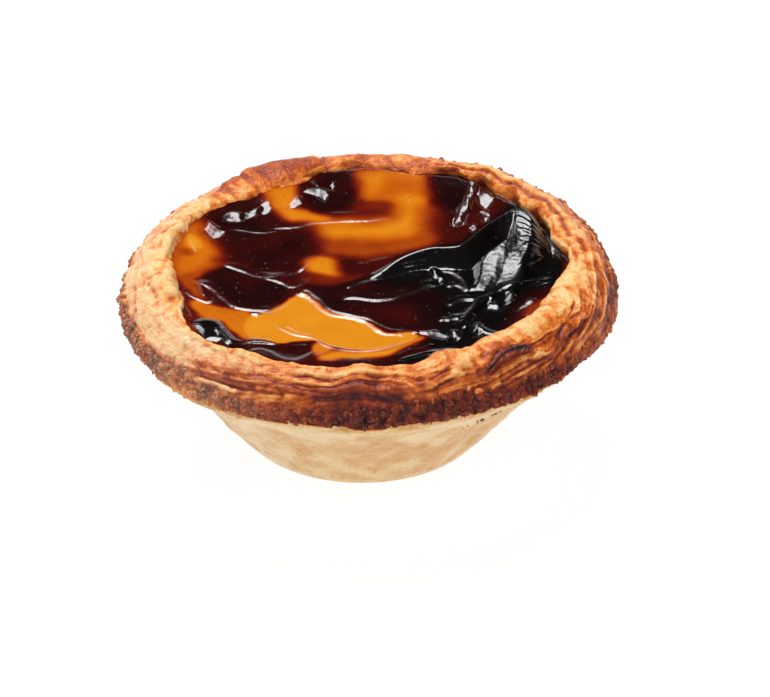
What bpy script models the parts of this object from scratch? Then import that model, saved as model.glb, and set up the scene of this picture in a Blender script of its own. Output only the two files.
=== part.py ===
"""A Portuguese custard tart: a laminated pastry case, filled to its lip with set, scorched custard.

Run it with: blender --background --python part.py
Metres, +Z up. The origin is the middle of the flat foot, on the surface that the tart stands on.
The sizes below are in millimetres, and the angles are in degrees round +Z from +X.
"""

import math

import bmesh
import bpy
import numpy as np

MM = 0.001

# The pastry case's outer side.
CREST_RADIUS = 32.6
CREST_HEIGHT = 28.9
RIM_RADIUS = 38.0
RIM_HEIGHT = 23.2
RIM_DROP = 2.4
WALL_TOP_RADIUS = 35.8
FOOT_RADIUS = 17.6
FOOT_SHIFT = -1.1

# The flared wall, from under the rim to the foot: (radius, height).
WALL_LINE = (
    (WALL_TOP_RADIUS, RIM_HEIGHT - RIM_DROP),
    (31.4, 16.2),
    (27.4, 11.5),
    (23.4, 6.2),
    (20.4, 2.4),
    (19.0, 0.8),
    (FOOT_RADIUS, 0.0),
)

# The pastry case's inner side, from its floor to its lip: (radius, height). The custard fills it.
FLOOR_HEIGHT = 3.4
LIP_RADIUS = 30.7
LIP_HEIGHT = 27.3
INNER_LINE = (
    (0.0, FLOOR_HEIGHT),
    (14.6, FLOOR_HEIGHT),
    (18.2, 5.8),
    (22.0, 10.2),
    (25.9, 14.9),
    (29.0, 19.4),
    (30.4, 23.6),
    (LIP_RADIUS, LIP_HEIGHT),
)
SEAM_GAP = 0.3

# The custard's top.
CUSTARD_LEVEL = 27.0
MENISCUS_WIDTH = 2.4

# How finely the solids are cut up.
STEPS_ROUND = 90
CUSTARD_RINGS = 17

# The rim as it was pressed by hand, going round: (angle, radius, rim height, crest height).
RIM_TURNS = (
    (0.0, 38.1, 23.4, 29.4),
    (25.0, 38.2, 23.8, 29.6),
    (55.0, 38.0, 24.0, 29.4),
    (90.0, 37.9, 24.0, 28.6),
    (130.0, 37.6, 23.6, 28.3),
    (165.0, 38.0, 23.2, 28.5),
    (195.0, 38.4, 23.0, 28.7),
    (222.0, 39.4, 22.6, 28.8),
    (240.0, 39.0, 22.4, 28.8),
    (270.0, 38.2, 22.4, 28.7),
    (300.0, 37.4, 22.8, 28.9),
    (330.0, 37.8, 23.0, 29.2),
)

# Where a leaf of pastry lifted or sank on the crest: (angle, half width in degrees, height).
CREST_LEAVES = (
    (119.0, 11.0, 0.9),
    (98.0, 6.0, -0.3),
    (-57.0, 8.0, 0.7),
    (-74.0, 5.0, 0.4),
    (-128.0, 10.0, -0.4),
)

# Ribs of crumb on the dark outer band of the rim.
BAND_RIBS = 24
BAND_RIB_DEPTH = 0.25

# The back edge of the blister of scorched skin: (x, y, height over the custard).
BLISTER_EDGE = (
    (0.0, -3.6, 0.0),
    (4.0, -1.0, 1.1),
    (8.0, 1.4, 2.0),
    (14.0, 2.6, 2.7),
    (18.0, 6.8, 3.2),
    (22.0, 11.2, 3.6),
    (26.0, 9.2, 2.4),
    (29.0, 4.0, 0.0),
)
BLISTER_BACK_FALL = 3.0
BLISTER_FRONT_FALL = 10.0

# Domes and hollows of the custard: (x, y, radius along x, radius along y, height).
CUSTARD_SWELLS = (
    (20.5, -1.5, 6.0, 7.0, 1.3),
    (-15.0, 5.5, 8.0, 5.5, -0.6),
    (-4.0, -16.5, 9.0, 5.0, -0.7),
    (1.0, 10.5, 9.0, 7.0, -0.4),
    (-23.5, -18.5, 3.0, 3.0, 0.8),
    (4.0, -8.0, 8.0, 4.0, 0.6),
)


def clear_scene():
    for existing in list(bpy.data.objects):
        bpy.data.objects.remove(existing)


def smooth_step(value, low, high):
    """0 below low, 1 above high, and an even curve between them."""
    share = np.clip((np.asarray(value, float) - low) / (high - low), 0.0, 1.0)
    return share * share * (3.0 - 2.0 * share)


def through(points, per_span):
    """A smooth line through the points, as an array with per_span pieces between each two."""
    known = np.array(points, float)
    padded = np.vstack([2 * known[0] - known[1], known, 2 * known[-1] - known[-2]])
    line = []
    for before, start, end, after in zip(padded, padded[1:], padded[2:], padded[3:]):
        for share in np.arange(per_span) / per_span:
            line.append(
                start
                + 0.5 * share * (end - before)
                + share**2 * (before - 2.5 * start + 2.0 * end - 0.5 * after)
                + share**3 * (1.5 * (start - end) + 0.5 * (after - before))
            )
    line.append(known[-1])
    return np.array(line)


def outer_side():
    """(radius, height) points from the crest, over the rim and down the wall to the foot's middle."""
    rim = through(
        [
            (CREST_RADIUS, CREST_HEIGHT),
            (CREST_RADIUS + 2.9, CREST_HEIGHT - 1.6),
            (RIM_RADIUS - 0.5, RIM_HEIGHT + 1.7),
            (RIM_RADIUS, RIM_HEIGHT),
            (RIM_RADIUS - 0.5, RIM_HEIGHT - 1.4),
            WALL_LINE[0],
        ],
        2,
    )
    return np.vstack([rim, WALL_LINE[1:], [(FOOT_RADIUS / 2, 0.0), (0.0, 0.0)]])


def drawn_in(line, gap):
    """The line moved by gap to its left as it runs from the floor to the lip, which is into the cup."""
    ahead = np.gradient(line, axis=0)
    normals = np.stack([-ahead[:, 1], ahead[:, 0]], axis=1)
    normals /= np.linalg.norm(normals, axis=1, keepdims=True)
    moved = line + gap * normals
    moved[line[:, 0] == 0.0, 0] = 0.0
    return moved


def turned(name, profile, collection):
    """A solid turned about Z from (radius, height) points that run down its outer side."""
    points = [(radius * MM, 0.0, height * MM) for radius, height in profile]
    edges = [(start, start + 1) for start in range(len(points) - 1)]
    mesh = bpy.data.meshes.new(name + "_profile")
    mesh.from_pydata(points, edges, [])
    guide = bpy.data.objects.new(name + "_profile", mesh)
    collection.objects.link(guide)
    screw = guide.modifiers.new("turn", "SCREW")
    screw.axis = "Z"
    screw.steps = STEPS_ROUND
    screw.render_steps = STEPS_ROUND
    screw.use_merge_vertices = True
    screw.merge_threshold = 0.00001
    screw.use_smooth_shade = True
    bpy.context.view_layer.update()
    graph = bpy.context.evaluated_depsgraph_get()
    solid_mesh = bpy.data.meshes.new_from_object(guide.evaluated_get(graph))
    bpy.data.objects.remove(guide)
    solid_mesh.name = name
    closed = bmesh.new()
    closed.from_mesh(solid_mesh)
    bmesh.ops.remove_doubles(closed, verts=closed.verts, dist=0.00001)
    closed.to_mesh(solid_mesh)
    closed.free()
    solid = bpy.data.objects.new(name, solid_mesh)
    collection.objects.link(solid)
    return solid


def reshape(solid, shape):
    """Moves the solid's points with shape(radius, angle, height), which takes and gives arrays in mm."""
    mesh = solid.data
    places = np.empty(len(mesh.vertices) * 3, np.float32)
    mesh.vertices.foreach_get("co", places)
    places = places.reshape(-1, 3).astype(float) / MM
    radius = np.hypot(places[:, 0], places[:, 1])
    angle = np.arctan2(places[:, 1], places[:, 0])
    radius, height = shape(radius, angle, places[:, 2])
    to_side = FOOT_SHIFT * (1.0 - smooth_step(height, 4.0, RIM_HEIGHT - RIM_DROP))
    moved = np.stack([radius * np.cos(angle) + to_side, radius * np.sin(angle), height], axis=1)
    mesh.vertices.foreach_set("co", (moved * MM).astype(np.float32).ravel())
    mesh.update()


def round_the_rim(angle, column):
    """A smooth value from one column of RIM_TURNS at each angle."""
    turns = np.array(RIM_TURNS)
    wrapped = np.vstack([turns[-2:] - (360, 0, 0, 0), turns, turns[:2] + (360, 0, 0, 0)])
    line = through(wrapped[:, (0, column)], 8)
    return np.interp(np.degrees(angle) % 360.0, line[:, 0], line[:, 1])


def settled(radius, angle, height):
    """How the tart settled as it baked: rim and crest as in RIM_TURNS, and the foot to one side."""
    share = smooth_step(height, 2.0, RIM_HEIGHT - RIM_DROP)
    radius = radius * (1.0 + share * (round_the_rim(angle, 1) / RIM_RADIUS - 1.0))
    crest = smooth_step(height, RIM_HEIGHT, CREST_HEIGHT)
    rim_rise = round_the_rim(angle, 2) - RIM_HEIGHT
    crest_rise = round_the_rim(angle, 3) - CREST_HEIGHT
    inward = np.clip(radius / LIP_RADIUS, 0.0, 1.0)
    return radius, height + inward * share * (rim_rise + crest * (crest_rise - rim_rise))


def angle_between(angle, degrees):
    """The angle from each direction to the one given in degrees, from -180 to 180 degrees."""
    return (np.degrees(angle) - degrees + 180.0) % 360.0 - 180.0


def crest_shape(radius, angle, height):
    """The lifted leaves on the crest, and the crumb ribs on the outer band."""
    on_crest = smooth_step(height, RIM_HEIGHT, CREST_HEIGHT - 0.6)
    on_crest *= smooth_step(radius, LIP_RADIUS + 0.2, CREST_RADIUS - 0.6)
    rise = np.zeros_like(radius)
    for middle, half_width, amount in CREST_LEAVES:
        rise += amount * np.exp(-((angle_between(angle, middle) / half_width) ** 2))
    on_band = smooth_step(radius, WALL_TOP_RADIUS + 0.4, RIM_RADIUS - 0.4)
    ribs = BAND_RIB_DEPTH * np.cos(BAND_RIBS * angle) * np.cos(5 * angle + 1.0)
    return settled(radius + on_band * ribs, angle, height + on_crest * rise)


def from_line(x, y, line):
    """Each point's distance from a line of (x, y, value), the side it is on, and the value there."""
    nearest = np.full_like(x, np.inf)
    side = np.zeros_like(x)
    value = np.zeros_like(x)
    for start, end in zip(line, line[1:]):
        run = end[:2] - start[:2]
        share = ((x - start[0]) * run[0] + (y - start[1]) * run[1]) / (run @ run)
        share = np.clip(share, 0.0, 1.0)
        away_x = x - start[0] - share * run[0]
        away_y = y - start[1] - share * run[1]
        distance = np.hypot(away_x, away_y)
        nearer = distance < nearest
        nearest = np.where(nearer, distance, nearest)
        side = np.where(nearer, np.sign(run[0] * away_y - run[1] * away_x), side)
        value = np.where(nearer, start[2] + share * (end[2] - start[2]), value)
    return nearest, side, value


def custard_relief(x, y):
    """The height of the custard's skin over its level: the scorched blister, swells and hollows."""
    distance, side, rise = from_line(x, y, through(BLISTER_EDGE, 4))
    fall = np.where(side > 0, BLISTER_BACK_FALL, BLISTER_FRONT_FALL)
    relief = rise * (1.0 - smooth_step(distance, 0.0, fall))
    for middle_x, middle_y, along_x, along_y, amount in CUSTARD_SWELLS:
        away = ((x - middle_x) / along_x) ** 2 + ((y - middle_y) / along_y) ** 2
        relief = relief + amount * np.exp(-away)
    return relief


def custard_shape(radius, angle, height):
    """The custard's skin over its level, drawn down to the case at its edge."""
    is_skin = height > CUSTARD_LEVEL - 0.01
    relief = custard_relief(radius * np.cos(angle), radius * np.sin(angle))
    edge = LIP_RADIUS - SEAM_GAP
    inside = 1.0 - smooth_step(radius, edge - MENISCUS_WIDTH, edge)
    return settled(radius, angle, np.where(is_skin, height + inside * relief, height))


def material(name, colour, roughness):
    made = bpy.data.materials.new(name)
    made.use_nodes = True
    shader = made.node_tree.nodes["Principled BSDF"]
    shader.inputs["Base Color"].default_value = (*colour, 1.0)
    shader.inputs["Roughness"].default_value = roughness
    shader.inputs["Metallic"].default_value = 0.0
    made.diffuse_color = (*colour, 1.0)
    return made


def pastry_case(collection):
    """The cup of laminated pastry, with its rounded rim and flat foot."""
    lip = [
        (LIP_RADIUS + 0.25, LIP_HEIGHT + 0.8),
        (LIP_RADIUS + 0.9, CREST_HEIGHT - 0.25),
    ]
    profile = np.vstack([INNER_LINE, lip, outer_side()])
    case = turned("pastry_case", profile, collection)
    reshape(case, crest_shape)
    case.data.materials.append(material("baked_pastry", (0.62, 0.34, 0.13), 0.7))
    return case


def custard_filling(collection):
    """The set custard, from the floor of the case to its skin, clear of the case all round."""
    side = drawn_in(np.array(INNER_LINE), SEAM_GAP)
    side = side[side[:, 1] < CUSTARD_LEVEL - 0.4]
    skin = [
        (radius, CUSTARD_LEVEL)
        for radius in np.linspace(0.0, LIP_RADIUS - SEAM_GAP, CUSTARD_RINGS + 1)
    ]
    filling = turned("custard_filling", np.vstack([skin, side[::-1]]), collection)
    reshape(filling, custard_shape)
    filling.data.materials.append(material("set_custard", (0.80, 0.36, 0.03), 0.2))
    return filling


def main():
    clear_scene()
    tart = bpy.data.collections.new("portuguese_custard_tart")
    bpy.context.scene.collection.children.link(tart)
    for piece in (pastry_case(tart), custard_filling(tart)):
        piece.data.shade_smooth()


main()
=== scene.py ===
import math

import bpy
import numpy as np
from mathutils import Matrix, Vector


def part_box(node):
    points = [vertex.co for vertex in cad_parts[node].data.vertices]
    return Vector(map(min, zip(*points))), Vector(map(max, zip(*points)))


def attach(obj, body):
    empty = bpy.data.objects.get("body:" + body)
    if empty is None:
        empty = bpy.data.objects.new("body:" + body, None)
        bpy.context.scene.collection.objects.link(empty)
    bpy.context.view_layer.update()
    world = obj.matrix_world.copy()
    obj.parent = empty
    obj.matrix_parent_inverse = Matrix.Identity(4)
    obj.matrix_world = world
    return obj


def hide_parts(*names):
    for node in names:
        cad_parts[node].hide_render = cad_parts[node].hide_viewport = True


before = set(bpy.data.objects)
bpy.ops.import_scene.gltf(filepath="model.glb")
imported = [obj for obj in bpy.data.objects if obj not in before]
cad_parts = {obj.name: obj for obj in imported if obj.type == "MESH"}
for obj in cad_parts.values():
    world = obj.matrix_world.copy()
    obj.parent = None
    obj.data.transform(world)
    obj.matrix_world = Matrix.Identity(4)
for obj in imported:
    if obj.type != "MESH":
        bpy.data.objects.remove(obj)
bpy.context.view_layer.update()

# ---------------------------------------------------------------------------
# The pastry cup. Puff pastry is rolled up, cut across and pressed into a small
# round tin with the thumbs, so its leaves run round the rim, and they bake hard
# and brown where they stand over the tin's edge and stay pale against the tin.
# ---------------------------------------------------------------------------
MM = 0.001
case_low, case_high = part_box("pastry_case")
RIM_RADIUS = (case_high.x - case_low.x) / 2 / MM - 0.2
CREST_HEIGHT = (case_high.z - case_low.z) / MM - 0.7
STEPS_ROUND = 860
CRUST_ROW = 0.19
SPAN = 24
# The foot stands a little to the left of the rim's middle.
FOOT_SHIFT = -1.1

# Half of the cup's section, (radius, height) from the floor's middle to the foot's middle.
INNER_SIDE = (
    (0.0, 3.4), (8.0, 3.4), (14.6, 3.4), (18.2, 5.8), (22.0, 10.2), (25.9, 14.9),
    (29.0, 19.4), (30.3, 23.6), (30.75, 27.0), (31.3, 28.4),
)
OUTER_SIDE = (
    (32.6, CREST_HEIGHT), (35.5, CREST_HEIGHT - 1.6), (RIM_RADIUS - 0.5, 24.9), (RIM_RADIUS, 23.2),
    (RIM_RADIUS - 0.5, 21.8), (35.8, 20.8), (31.4, 16.2), (27.4, 11.5), (23.4, 6.2), (20.4, 2.4),
    (19.0, 0.8), (17.6, 0.0), (8.0, 0.0), (0.0, 0.0),
)

# The rim as it was pressed by hand, going round in degrees from +X:
# (angle, radius, rim height, crest height, radius of the lip where the custard meets it).
RIM_TURNS = (
    (0.0, 37.7, 23.4, 29.3, 30.6),
    (14.0, 37.5, 23.7, 29.4, 29.8),
    (30.0, 37.6, 23.9, 29.5, 29.9),
    (42.0, 37.7, 24.0, 29.5, 29.6),
    (60.0, 37.7, 24.0, 29.2, 31.4),
    (76.0, 37.7, 24.0, 28.8, 29.8),
    (90.0, 37.7, 23.9, 28.6, 30.3),
    (103.0, 37.6, 23.8, 28.6, 30.2),
    (112.0, 37.5, 23.7, 28.5, 27.6),
    (130.0, 37.3, 23.5, 28.3, 28.2),
    (148.0, 37.3, 23.4, 28.4, 30.2),
    (165.0, 37.4, 23.2, 28.5, 30.1),
    (180.0, 37.6, 23.1, 28.6, 30.0),
    (193.0, 37.9, 23.0, 28.7, 28.8),
    (210.0, 38.6, 22.8, 28.8, 31.2),
    (224.0, 38.9, 22.6, 28.8, 32.3),
    (238.0, 38.8, 22.5, 28.9, 31.5),
    (250.0, 38.4, 22.4, 28.9, 30.6),
    (261.0, 38.1, 22.4, 28.8, 30.8),
    (267.0, 38.0, 22.4, 29.5, 29.9),
    (274.0, 37.9, 22.4, 28.8, 30.3),
    (283.0, 37.7, 22.5, 28.8, 30.1),
    (291.0, 37.5, 22.6, 29.6, 28.9),
    (298.0, 37.4, 22.7, 29.0, 29.2),
    (306.0, 37.3, 22.8, 29.3, 28.4),
    (320.0, 37.4, 23.0, 29.4, 29.0),
    (345.0, 37.7, 23.2, 29.2, 28.6),
)


def ring(angle, radius):
    """The x and y of points on a circle, at angles in degrees."""
    turned = np.radians(angle)
    return radius * np.cos(turned), radius * np.sin(turned)


def smooth_step(value, low, high):
    """0 below low, 1 above high, and an even curve between them."""
    share = np.clip((np.asarray(value, float) - low) / (high - low), 0.0, 1.0)
    return share * share * (3.0 - 2.0 * share)


def through(points, per_span):
    """A smooth line through the points, as an array with per_span pieces between each two."""
    known = np.array(points, float)
    padded = np.vstack([2 * known[0] - known[1], known, 2 * known[-1] - known[-2]])
    share = (np.arange(per_span) / per_span)[:, None]
    spans = [
        start
        + 0.5 * share * (end - before)
        + share**2 * (before - 2.5 * start + 2.0 * end - 0.5 * after)
        + share**3 * (1.5 * (start - end) + 0.5 * (after - before))
        for before, start, end, after in zip(padded, padded[1:], padded[2:], padded[3:])
    ]
    return np.vstack(spans + [known[-1:]])


def cloud(x, y, z, seed):
    """Smooth random values of about -1 to 1, in lumps one unit across."""
    cells = [np.floor(c).astype(np.int64) for c in (x, y, z)]
    parts = [c - cell for c, cell in zip((x, y, z), cells)]
    fades = [p**3 * (p * (p * 6.0 - 15.0) + 10.0) for p in parts]
    total = 0.0
    for corner in range(8):
        steps = (corner & 1, corner >> 1 & 1, corner >> 2)
        i, j, k = (cell + step for cell, step in zip(cells, steps))
        mixed = (i * 73856093 ^ j * 19349663 ^ k * 83492791 ^ (seed + 1) * 40503177) & 0x7FFFFFFF
        mixed = (mixed ^ mixed >> 13) * 1274126177 & 0x7FFFFFFF
        mixed = (mixed ^ mixed >> 16) * 668265263 & 0x7FFFFFFF
        turn = (mixed & 0xFFFF) * (2.0 * math.pi / 65536.0)
        rise = (mixed >> 16 & 0x7FFF) / 16384.0 - 1.0
        flat = np.sqrt(1.0 - rise * rise)
        slope = flat * np.cos(turn) * (parts[0] - steps[0])
        slope += flat * np.sin(turn) * (parts[1] - steps[1]) + rise * (parts[2] - steps[2])
        weight = 1.0
        for fade, step in zip(fades, steps):
            weight = weight * (fade if step else 1.0 - fade)
        total = total + weight * slope
    return total * 1.6


def billow(x, y, z, seed, layers):
    """Clouds in finer and finer layers, each half as strong as the one before."""
    return sum(
        cloud(x * 2.0**n, y * 2.0**n, z * 2.0**n, seed + 17 * n) / 2.0**n for n in range(layers)
    )


def round_the_rim(angle, column, table=RIM_TURNS):
    """A smooth value from one column of a table of turns, at each angle in degrees."""
    turns = np.array(table)
    whole = np.zeros(turns.shape[1])
    whole[0] = 360.0
    line = through(np.vstack([turns[-2:] - whole, turns, turns[:2] + whole])[:, (0, column)], 8)
    first = turns[0, 0]
    return np.interp((angle - first) % 360.0 + first, line[:, 0], line[:, 1])


section = through(INNER_SIDE + OUTER_SIDE, SPAN)
section[:, 1] = np.maximum(section[:, 1], 0.0)
section_along = np.concatenate([[0.0], np.cumsum(np.hypot(*np.diff(section, axis=0).T))])
section_along -= section_along[len(INNER_SIDE) * SPAN]
section_lean = np.gradient(section, axis=0)
section_lean /= np.linalg.norm(section_lean, axis=1, keepdims=True)

# The back of the rim that a torn leaf lies over, which is smooth: its middle and half its length in degrees.
UNDER_LEAF = (115.0, 13.0)


def under_leaf(angle):
    """1 where the torn leaf lies over the rim, and 0 away from it."""
    return np.exp(-(((angle - UNDER_LEAF[0]) / UNDER_LEAF[1]) ** 4))


def on_cup(angle, along, lift):
    """Points lift mm over the cup's plain form, at an angle and a way along its section from the crest.

    Along is in mm, negative down the inner side and positive over the rim and down the outer side.
    """
    radius, height = (np.interp(along, section_along, section[:, axis]) for axis in (0, 1))
    lean_out, lean_up = (np.interp(along, section_along, section_lean[:, axis]) for axis in (0, 1))
    raised = smooth_step(height, 2.0, 20.8)
    crest = smooth_step(height, 23.2, CREST_HEIGHT)
    rim_rise = round_the_rim(angle, 2) - 23.2
    crest_rise = round_the_rim(angle, 3) - CREST_HEIGHT
    inward = np.clip(radius / 30.7, 0.0, 1.0)
    by_lip = smooth_step(along, -9.0, -4.5) * (1.0 - smooth_step(along, -2.4, 1.6))
    x, y = ring(angle, 32.0)
    waved = 0.60 * cloud(x / 5, y / 5, along / 6, 61)
    waved = waved + 0.20 * (1.0 - under_leaf(angle)) * billow(x / 1.9, y / 1.9, along / 1.9, 62, 2)
    radius = radius * (1.0 + raised * (round_the_rim(angle, 1) / RIM_RADIUS - 1.0))
    radius = radius + by_lip * (round_the_rim(angle, 4) - 30.7 + waved)
    height = height + inward * raised * (rim_rise + crest * (crest_rise - rim_rise))
    height = height + crest * (1.0 - smooth_step(along, 0.5, 3.0)) * 0.8 * waved
    radius = radius - lean_up * lift
    height = height + lean_out * lift
    x, y = ring(angle, radius)
    return np.stack([x + FOOT_SHIFT * (1.0 - smooth_step(height, 4.0, 20.8)), y, height], axis=-1)


def off_line(x, y, points, smoothed=4):
    """The distance to a smooth line through (x, y) points, and how far along it the nearest one is.

    The distance is positive on the line's right, as one goes along it.
    """
    line = through(points, smoothed)
    nearest = np.full(np.shape(x), np.inf)
    place = np.zeros(np.shape(x))
    for count, (start, end) in enumerate(zip(line, line[1:])):
        run = end - start
        share = np.clip(((x - start[0]) * run[0] + (y - start[1]) * run[1]) / (run @ run), 0.0, 1.0)
        off_x, off_y = x - start[0] - share * run[0], y - start[1] - share * run[1]
        away = np.hypot(off_x, off_y)
        nearer = away < np.abs(nearest)
        side = np.where(run[1] * off_x - run[0] * off_y >= 0.0, 1.0, -1.0)
        nearest = np.where(nearer, side * away, nearest)
        place = np.where(nearer, (count + share) / (len(line) - 1), place)
    return nearest, place


RIM_MM_PER_DEGREE = 0.64


def off_rim_line(angle, along, points):
    """What off_line gives for a line of (angle, along) points on the crust."""
    first = points[0][0]
    round_mm = ((angle - first + 180.0) % 360.0 - 180.0) * RIM_MM_PER_DEGREE
    return off_line(round_mm, along, [((a - first) * RIM_MM_PER_DEGREE, s) for a, s in points], 3)


# How the crust browned round the rim, 0 raw to 1 burnt: (angle, crest, shoulder, crumb band, flour left
# on the shoulder, drift of the leaves across it in mm, how crumbly the band is, where it starts and ends
# on the section).
BROWNING = (
    (0.0, 0.32, 0.46, 0.60, 0.1, 4.4, 0.50, 4.2, 9.6),
    (25.0, 0.32, 0.44, 0.72, 0.3, 7.4, 0.85, 3.0, 9.2),
    (60.0, 0.33, 0.45, 0.76, 0.3, 5.4, 0.95, 2.8, 8.8),
    (90.0, 0.40, 0.49, 0.72, 0.0, 3.6, 0.80, 3.2, 8.6),
    (115.0, 0.40, 0.47, 0.52, 0.1, 2.0, 0.40, 4.7, 8.8),
    (150.0, 0.26, 0.28, 0.44, 0.4, 0.6, 0.60, 5.2, 9.2),
    (180.0, 0.24, 0.25, 0.58, 0.5, 0.0, 0.90, 6.0, 9.8),
    (208.0, 0.25, 0.26, 0.56, 0.6, -0.8, 1.00, 5.6, 9.9),
    (228.0, 0.26, 0.29, 0.51, 0.7, -0.6, 1.00, 5.5, 9.3),
    (250.0, 0.32, 0.43, 0.57, 0.1, 0.2, 1.00, 6.2, 8.5),
    (268.0, 0.34, 0.55, 0.72, 0.0, 0.4, 1.00, 5.2, 8.3),
    (285.0, 0.35, 0.42, 0.70, 0.0, 0.0, 1.00, 4.9, 8.3),
    (305.0, 0.34, 0.42, 0.70, 0.0, -0.4, 1.00, 5.9, 8.9),
    (322.0, 0.31, 0.44, 0.66, 0.0, 0.6, 0.80, 6.5, 9.8),
    (342.0, 0.28, 0.44, 0.48, 0.1, 2.4, 0.25, 6.2, 9.9),
)

# Leaf edges, scorch marks, pockets, and painted highlights and shade: (points of (angle, along), half width,
# browning, strength, lift).
CRUST_MARKS = (
    (((224, 5.6), (230, 4.7), (238, 4.4), (243, 4.5)), 0.30, 0.66, 0.9, -0.15),
    (((229, 5.3), (240, 5.0), (250, 4.6)), 0.24, 0.68, 0.8, -0.15),
    (((235, 3.8), (242, 3.2), (252, 3.5), (261, 3.8)), 0.22, 0.60, 0.7, -0.12),
    (((232, 3.4), (240, 2.9), (248, 3.1)), 0.18, 0.52, 0.6, -0.08),
    (((229, 5.9), (234, 5.4), (239, 5.6)), 0.25, 0.18, 0.8, 0.2),
    (((262, 3.0), (268, 2.6), (272, 2.4)), 0.9, 0.68, 0.8, -0.1),
    (((258, 4.5), (270, 4.5), (277, 4.4)), 0.6, 0.88, 0.8, -0.15),
    (((273, 2.6), (277, 2.3), (280, 3.0)), 0.8, 0.44, 0.8, 0.1),
    (((300, 4.6), (305, 4.0), (310, 3.8), (316, 4.2)), 0.50, 0.40, 0.95, 0.10),
    (((291, 2.6), (294, 1.4), (298, 0.4)), 1.0, 0.26, 0.8, 0.45),
    (((304, -0.6), (310, -0.4), (317, 0.0)), 0.9, 0.25, 0.8, 0.1),
    (((302, 5.4), (308, 4.9), (316, 4.8)), 0.16, 0.92, 0.8, -0.1),
    (((300, 6.2), (308, 5.7), (318, 5.4)), 0.16, 0.92, 0.6, -0.1),
    (((285, 0.6), (290, 0.4)), 0.5, 0.26, 0.6, 0.1),
    (((313, 5.6), (319, 4.6), (323, 3.4), (327, 2.4)), 0.3, 0.66, 0.8, -0.15),
    (((316, 6.2), (322, 5.2), (327, 4.2)), 0.28, 0.70, 0.8, -0.15),
    (((322, 3.2), (330, 2.1), (336, 1.1)), 0.22, 0.56, 0.7, -0.12),
    (((327, 4.7), (334, 4.4), (340, 4.9)), 0.6, 0.68, 0.8, -0.1),
    # Pale cream lobes: raised, and painted paler as highlights.
    (((345, -1.6), (350, -1.2), (355, -1.0)), 1.2, 0.18, 0.9, 0.20),
    (((318, -0.4), (323, -0.6), (328, -1.0)), 1.1, 0.19, 0.8, 0.20),
    (((168, -0.4), (173, -0.8), (178, -0.4)), 0.9, 0.18, 0.9, 0.30),
    (((190, 0.4), (195, -0.2), (201, -0.6)), 0.7, 0.18, 0.9, 0.35),
    (((208, 1.8), (214, 2.4), (220, 2.0)), 1.0, 0.19, 0.8, 0.25),
    # Orange marks between the lobes: sunk a little and painted darker as shade.
    (((191, 1.6), (196, 1.1), (201, 0.9)), 0.4, 0.34, 0.6, -0.20),
    (((160, 0.8), (164, 1.0)), 0.6, 0.37, 0.7, -0.10),
    (((348, 5.6), (352, 5.8), (356, 6.6)), 1.0, 0.80, 0.8, -0.2),
    (((363, 0.2), (368, 0.3)), 0.5, 0.62, 0.7, -0.1),
    (((370, -0.7), (380, -0.4), (392, -0.6), (410, -0.8), (430, -0.7)), 0.28, 0.50, 0.7, -0.2),
    (((352, -2.2), (360, -3.0), (366, -3.6)), 0.35, 0.60, 0.7, -0.1),
    (((465, 0.6), (475, 0.4), (485, 0.8)), 1.3, 0.55, 0.9, 0.5),
    (((464, -1.4), (474, -1.6), (484, -1.4)), 0.5, 0.20, 0.8, -0.2),
    (((493, 0.4), (498, 0.6)), 0.7, 0.52, 0.7, 0.2),
    # Blushes on the pale wall.
    (((270, 15), (278, 21), (283, 27)), 2.2, 0.13, 0.8, 0.0),
    (((222, 10), (238, 12), (246, 18), (250, 26)), 2.2, 0.13, 0.8, 0.0),
    (((294, 28), (300, 22), (314, 15)), 2.0, 0.13, 0.8, 0.0),
    (((240, 13), (258, 14)), 2.0, 0.0, 0.9, 0.0),
    (((288, 13), (306, 13)), 2.0, 0.0, 0.9, 0.0),
)


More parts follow.
